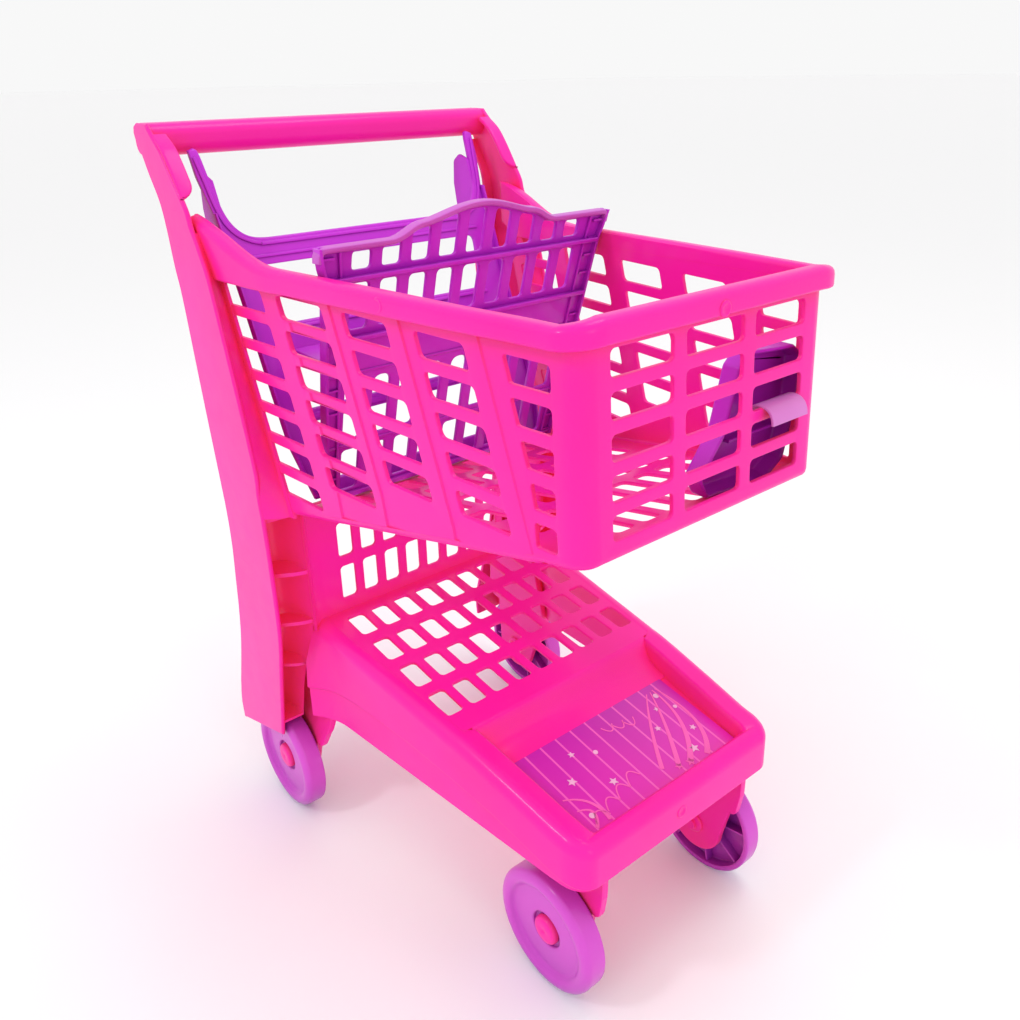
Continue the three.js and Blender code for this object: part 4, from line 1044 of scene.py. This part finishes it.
for k in range(4):
    y = -62 + k * 13.5
    scallops.append(swoosh((119 - k * 3, y), (104 - k * 4, y + 6.5), (118 - k * 4, y + 13), 0.5, 0.5))
for k in range(3):
    y = 4 + k * 9
    scallops.append(swoosh((60 + k * 2, y - 5), (72 + k * 3, y), (61 + k * 2, y + 5), 0.45, 0.45))
sw = merge(comets + scallops + [swoosh((121, -64), (108, -50), (104, -66), 1.3, 0.5), swoosh((121, -52), (100, -48), (92, -68), 1.4, 0.5), star(119, 30, 3.8, 0.2), star(117, 20, 3.2, 0.6)])
st_o = obj("label_stars", *stars, WHITE, "cart", weighted=False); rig.slot(st_o, "label")
sw_o = obj("label_swooshes", *sw, PALE, "cart", weighted=False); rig.slot(sw_o, "label")

# ======================================================================
# stage, lights, camera
# ======================================================================
def floor_mat():
    m = bpy.data.materials.new("floor"); m.use_nodes = True
    p = m.node_tree.nodes["Principled BSDF"]
    p.inputs["Base Color"].default_value = (0.985, 0.98, 0.985, 1); p.inputs["Roughness"].default_value = 0.6
    return m
me = bpy.data.meshes.new("floor")
R_ = 60.0
me.from_pydata([(-R_, -R_, 0), (R_, -R_, 0), (R_, R_, 0), (-R_, R_, 0)], [], [(0, 1, 2, 3)])
floor = bpy.data.objects.new("studio_floor", me); bpy.context.scene.collection.objects.link(floor)
me.materials.append(floor_mat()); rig.stage(floor)

w = bpy.data.worlds.new("w"); bpy.context.scene.world = w; w.use_nodes = True
w.node_tree.nodes["Background"].inputs[0].default_value = (1, 1, 1, 1)
w.node_tree.nodes["Background"].inputs[1].default_value = 0.94
def area(name, loc, target, size, power, col=(1, 1, 1)):
    l = bpy.data.lights.new(name, "AREA"); l.shape = "RECTANGLE"; l.size = size[0]; l.size_y = size[1]; l.energy = power; l.color = col
    o = bpy.data.objects.new(name, l); bpy.context.scene.collection.objects.link(o)
    o.location = loc
    o.rotation_euler = (Vector(target) - Vector(loc)).to_track_quat("-Z", "Y").to_euler()
    return o
area("key", (-0.25, -1.35, 1.55), (0.05, 0, 0.3), (0.22, 0.18), 5.0, (0.90, 0.90, 1.0))
area("top", (0.2, 0.5, 1.9), (0, 0, 0.3), (0.6, 0.6), 4.5)
area("front", (1.7, -0.2, 0.9), (0, 0, 0.3), (0.5, 0.5), 2.0, (1.0, 0.82, 0.68))

cam = bpy.data.cameras.new("cam"); co = bpy.data.objects.new("cam", cam); bpy.context.scene.collection.objects.link(co)
F_PX, CX, CY = 922.286, 513.380, 491.211
CAM_C = (440.139, -390.469, 588.196)
yaw, pitch, roll = math.radians(50.70287), math.radians(24.44352), math.radians(-1.05378)
back = Vector((math.sin(yaw) * math.cos(pitch), -math.cos(yaw) * math.cos(pitch), math.sin(pitch)))
right = Vector((math.cos(yaw), math.sin(yaw), 0)); up = back.cross(right)
cr, sr = math.cos(roll), math.sin(roll)
r_ = right * cr + up * sr; u_ = right * -sr + up * cr
co.matrix_world = Matrix(((r_.x, u_.x, back.x, (CAM_C[0] + S) * MM), (r_.y, u_.y, back.y, CAM_C[1] * MM), (r_.z, u_.z, back.z, CAM_C[2] * MM), (0, 0, 0, 1)))
cam.sensor_width = 36; cam.lens = F_PX / 1020 * 36
cam.shift_x = -(CX - 510) / 1020; cam.shift_y = (CY - 510) / 1020
cam.clip_start = 0.01
bpy.context.scene.camera = co
bpy.context.scene.view_settings.view_transform = "Standard"
bpy.context.scene.view_settings.look = "None"

b1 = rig.bounds()
def plain(b): return [[float(c) for c in v] for v in b]
try:
    json.dump({"before": plain(b0), "after": plain(b1)}, open("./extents.json", "w"))
except Exception as e:
    print("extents.json", e, b0, b1)
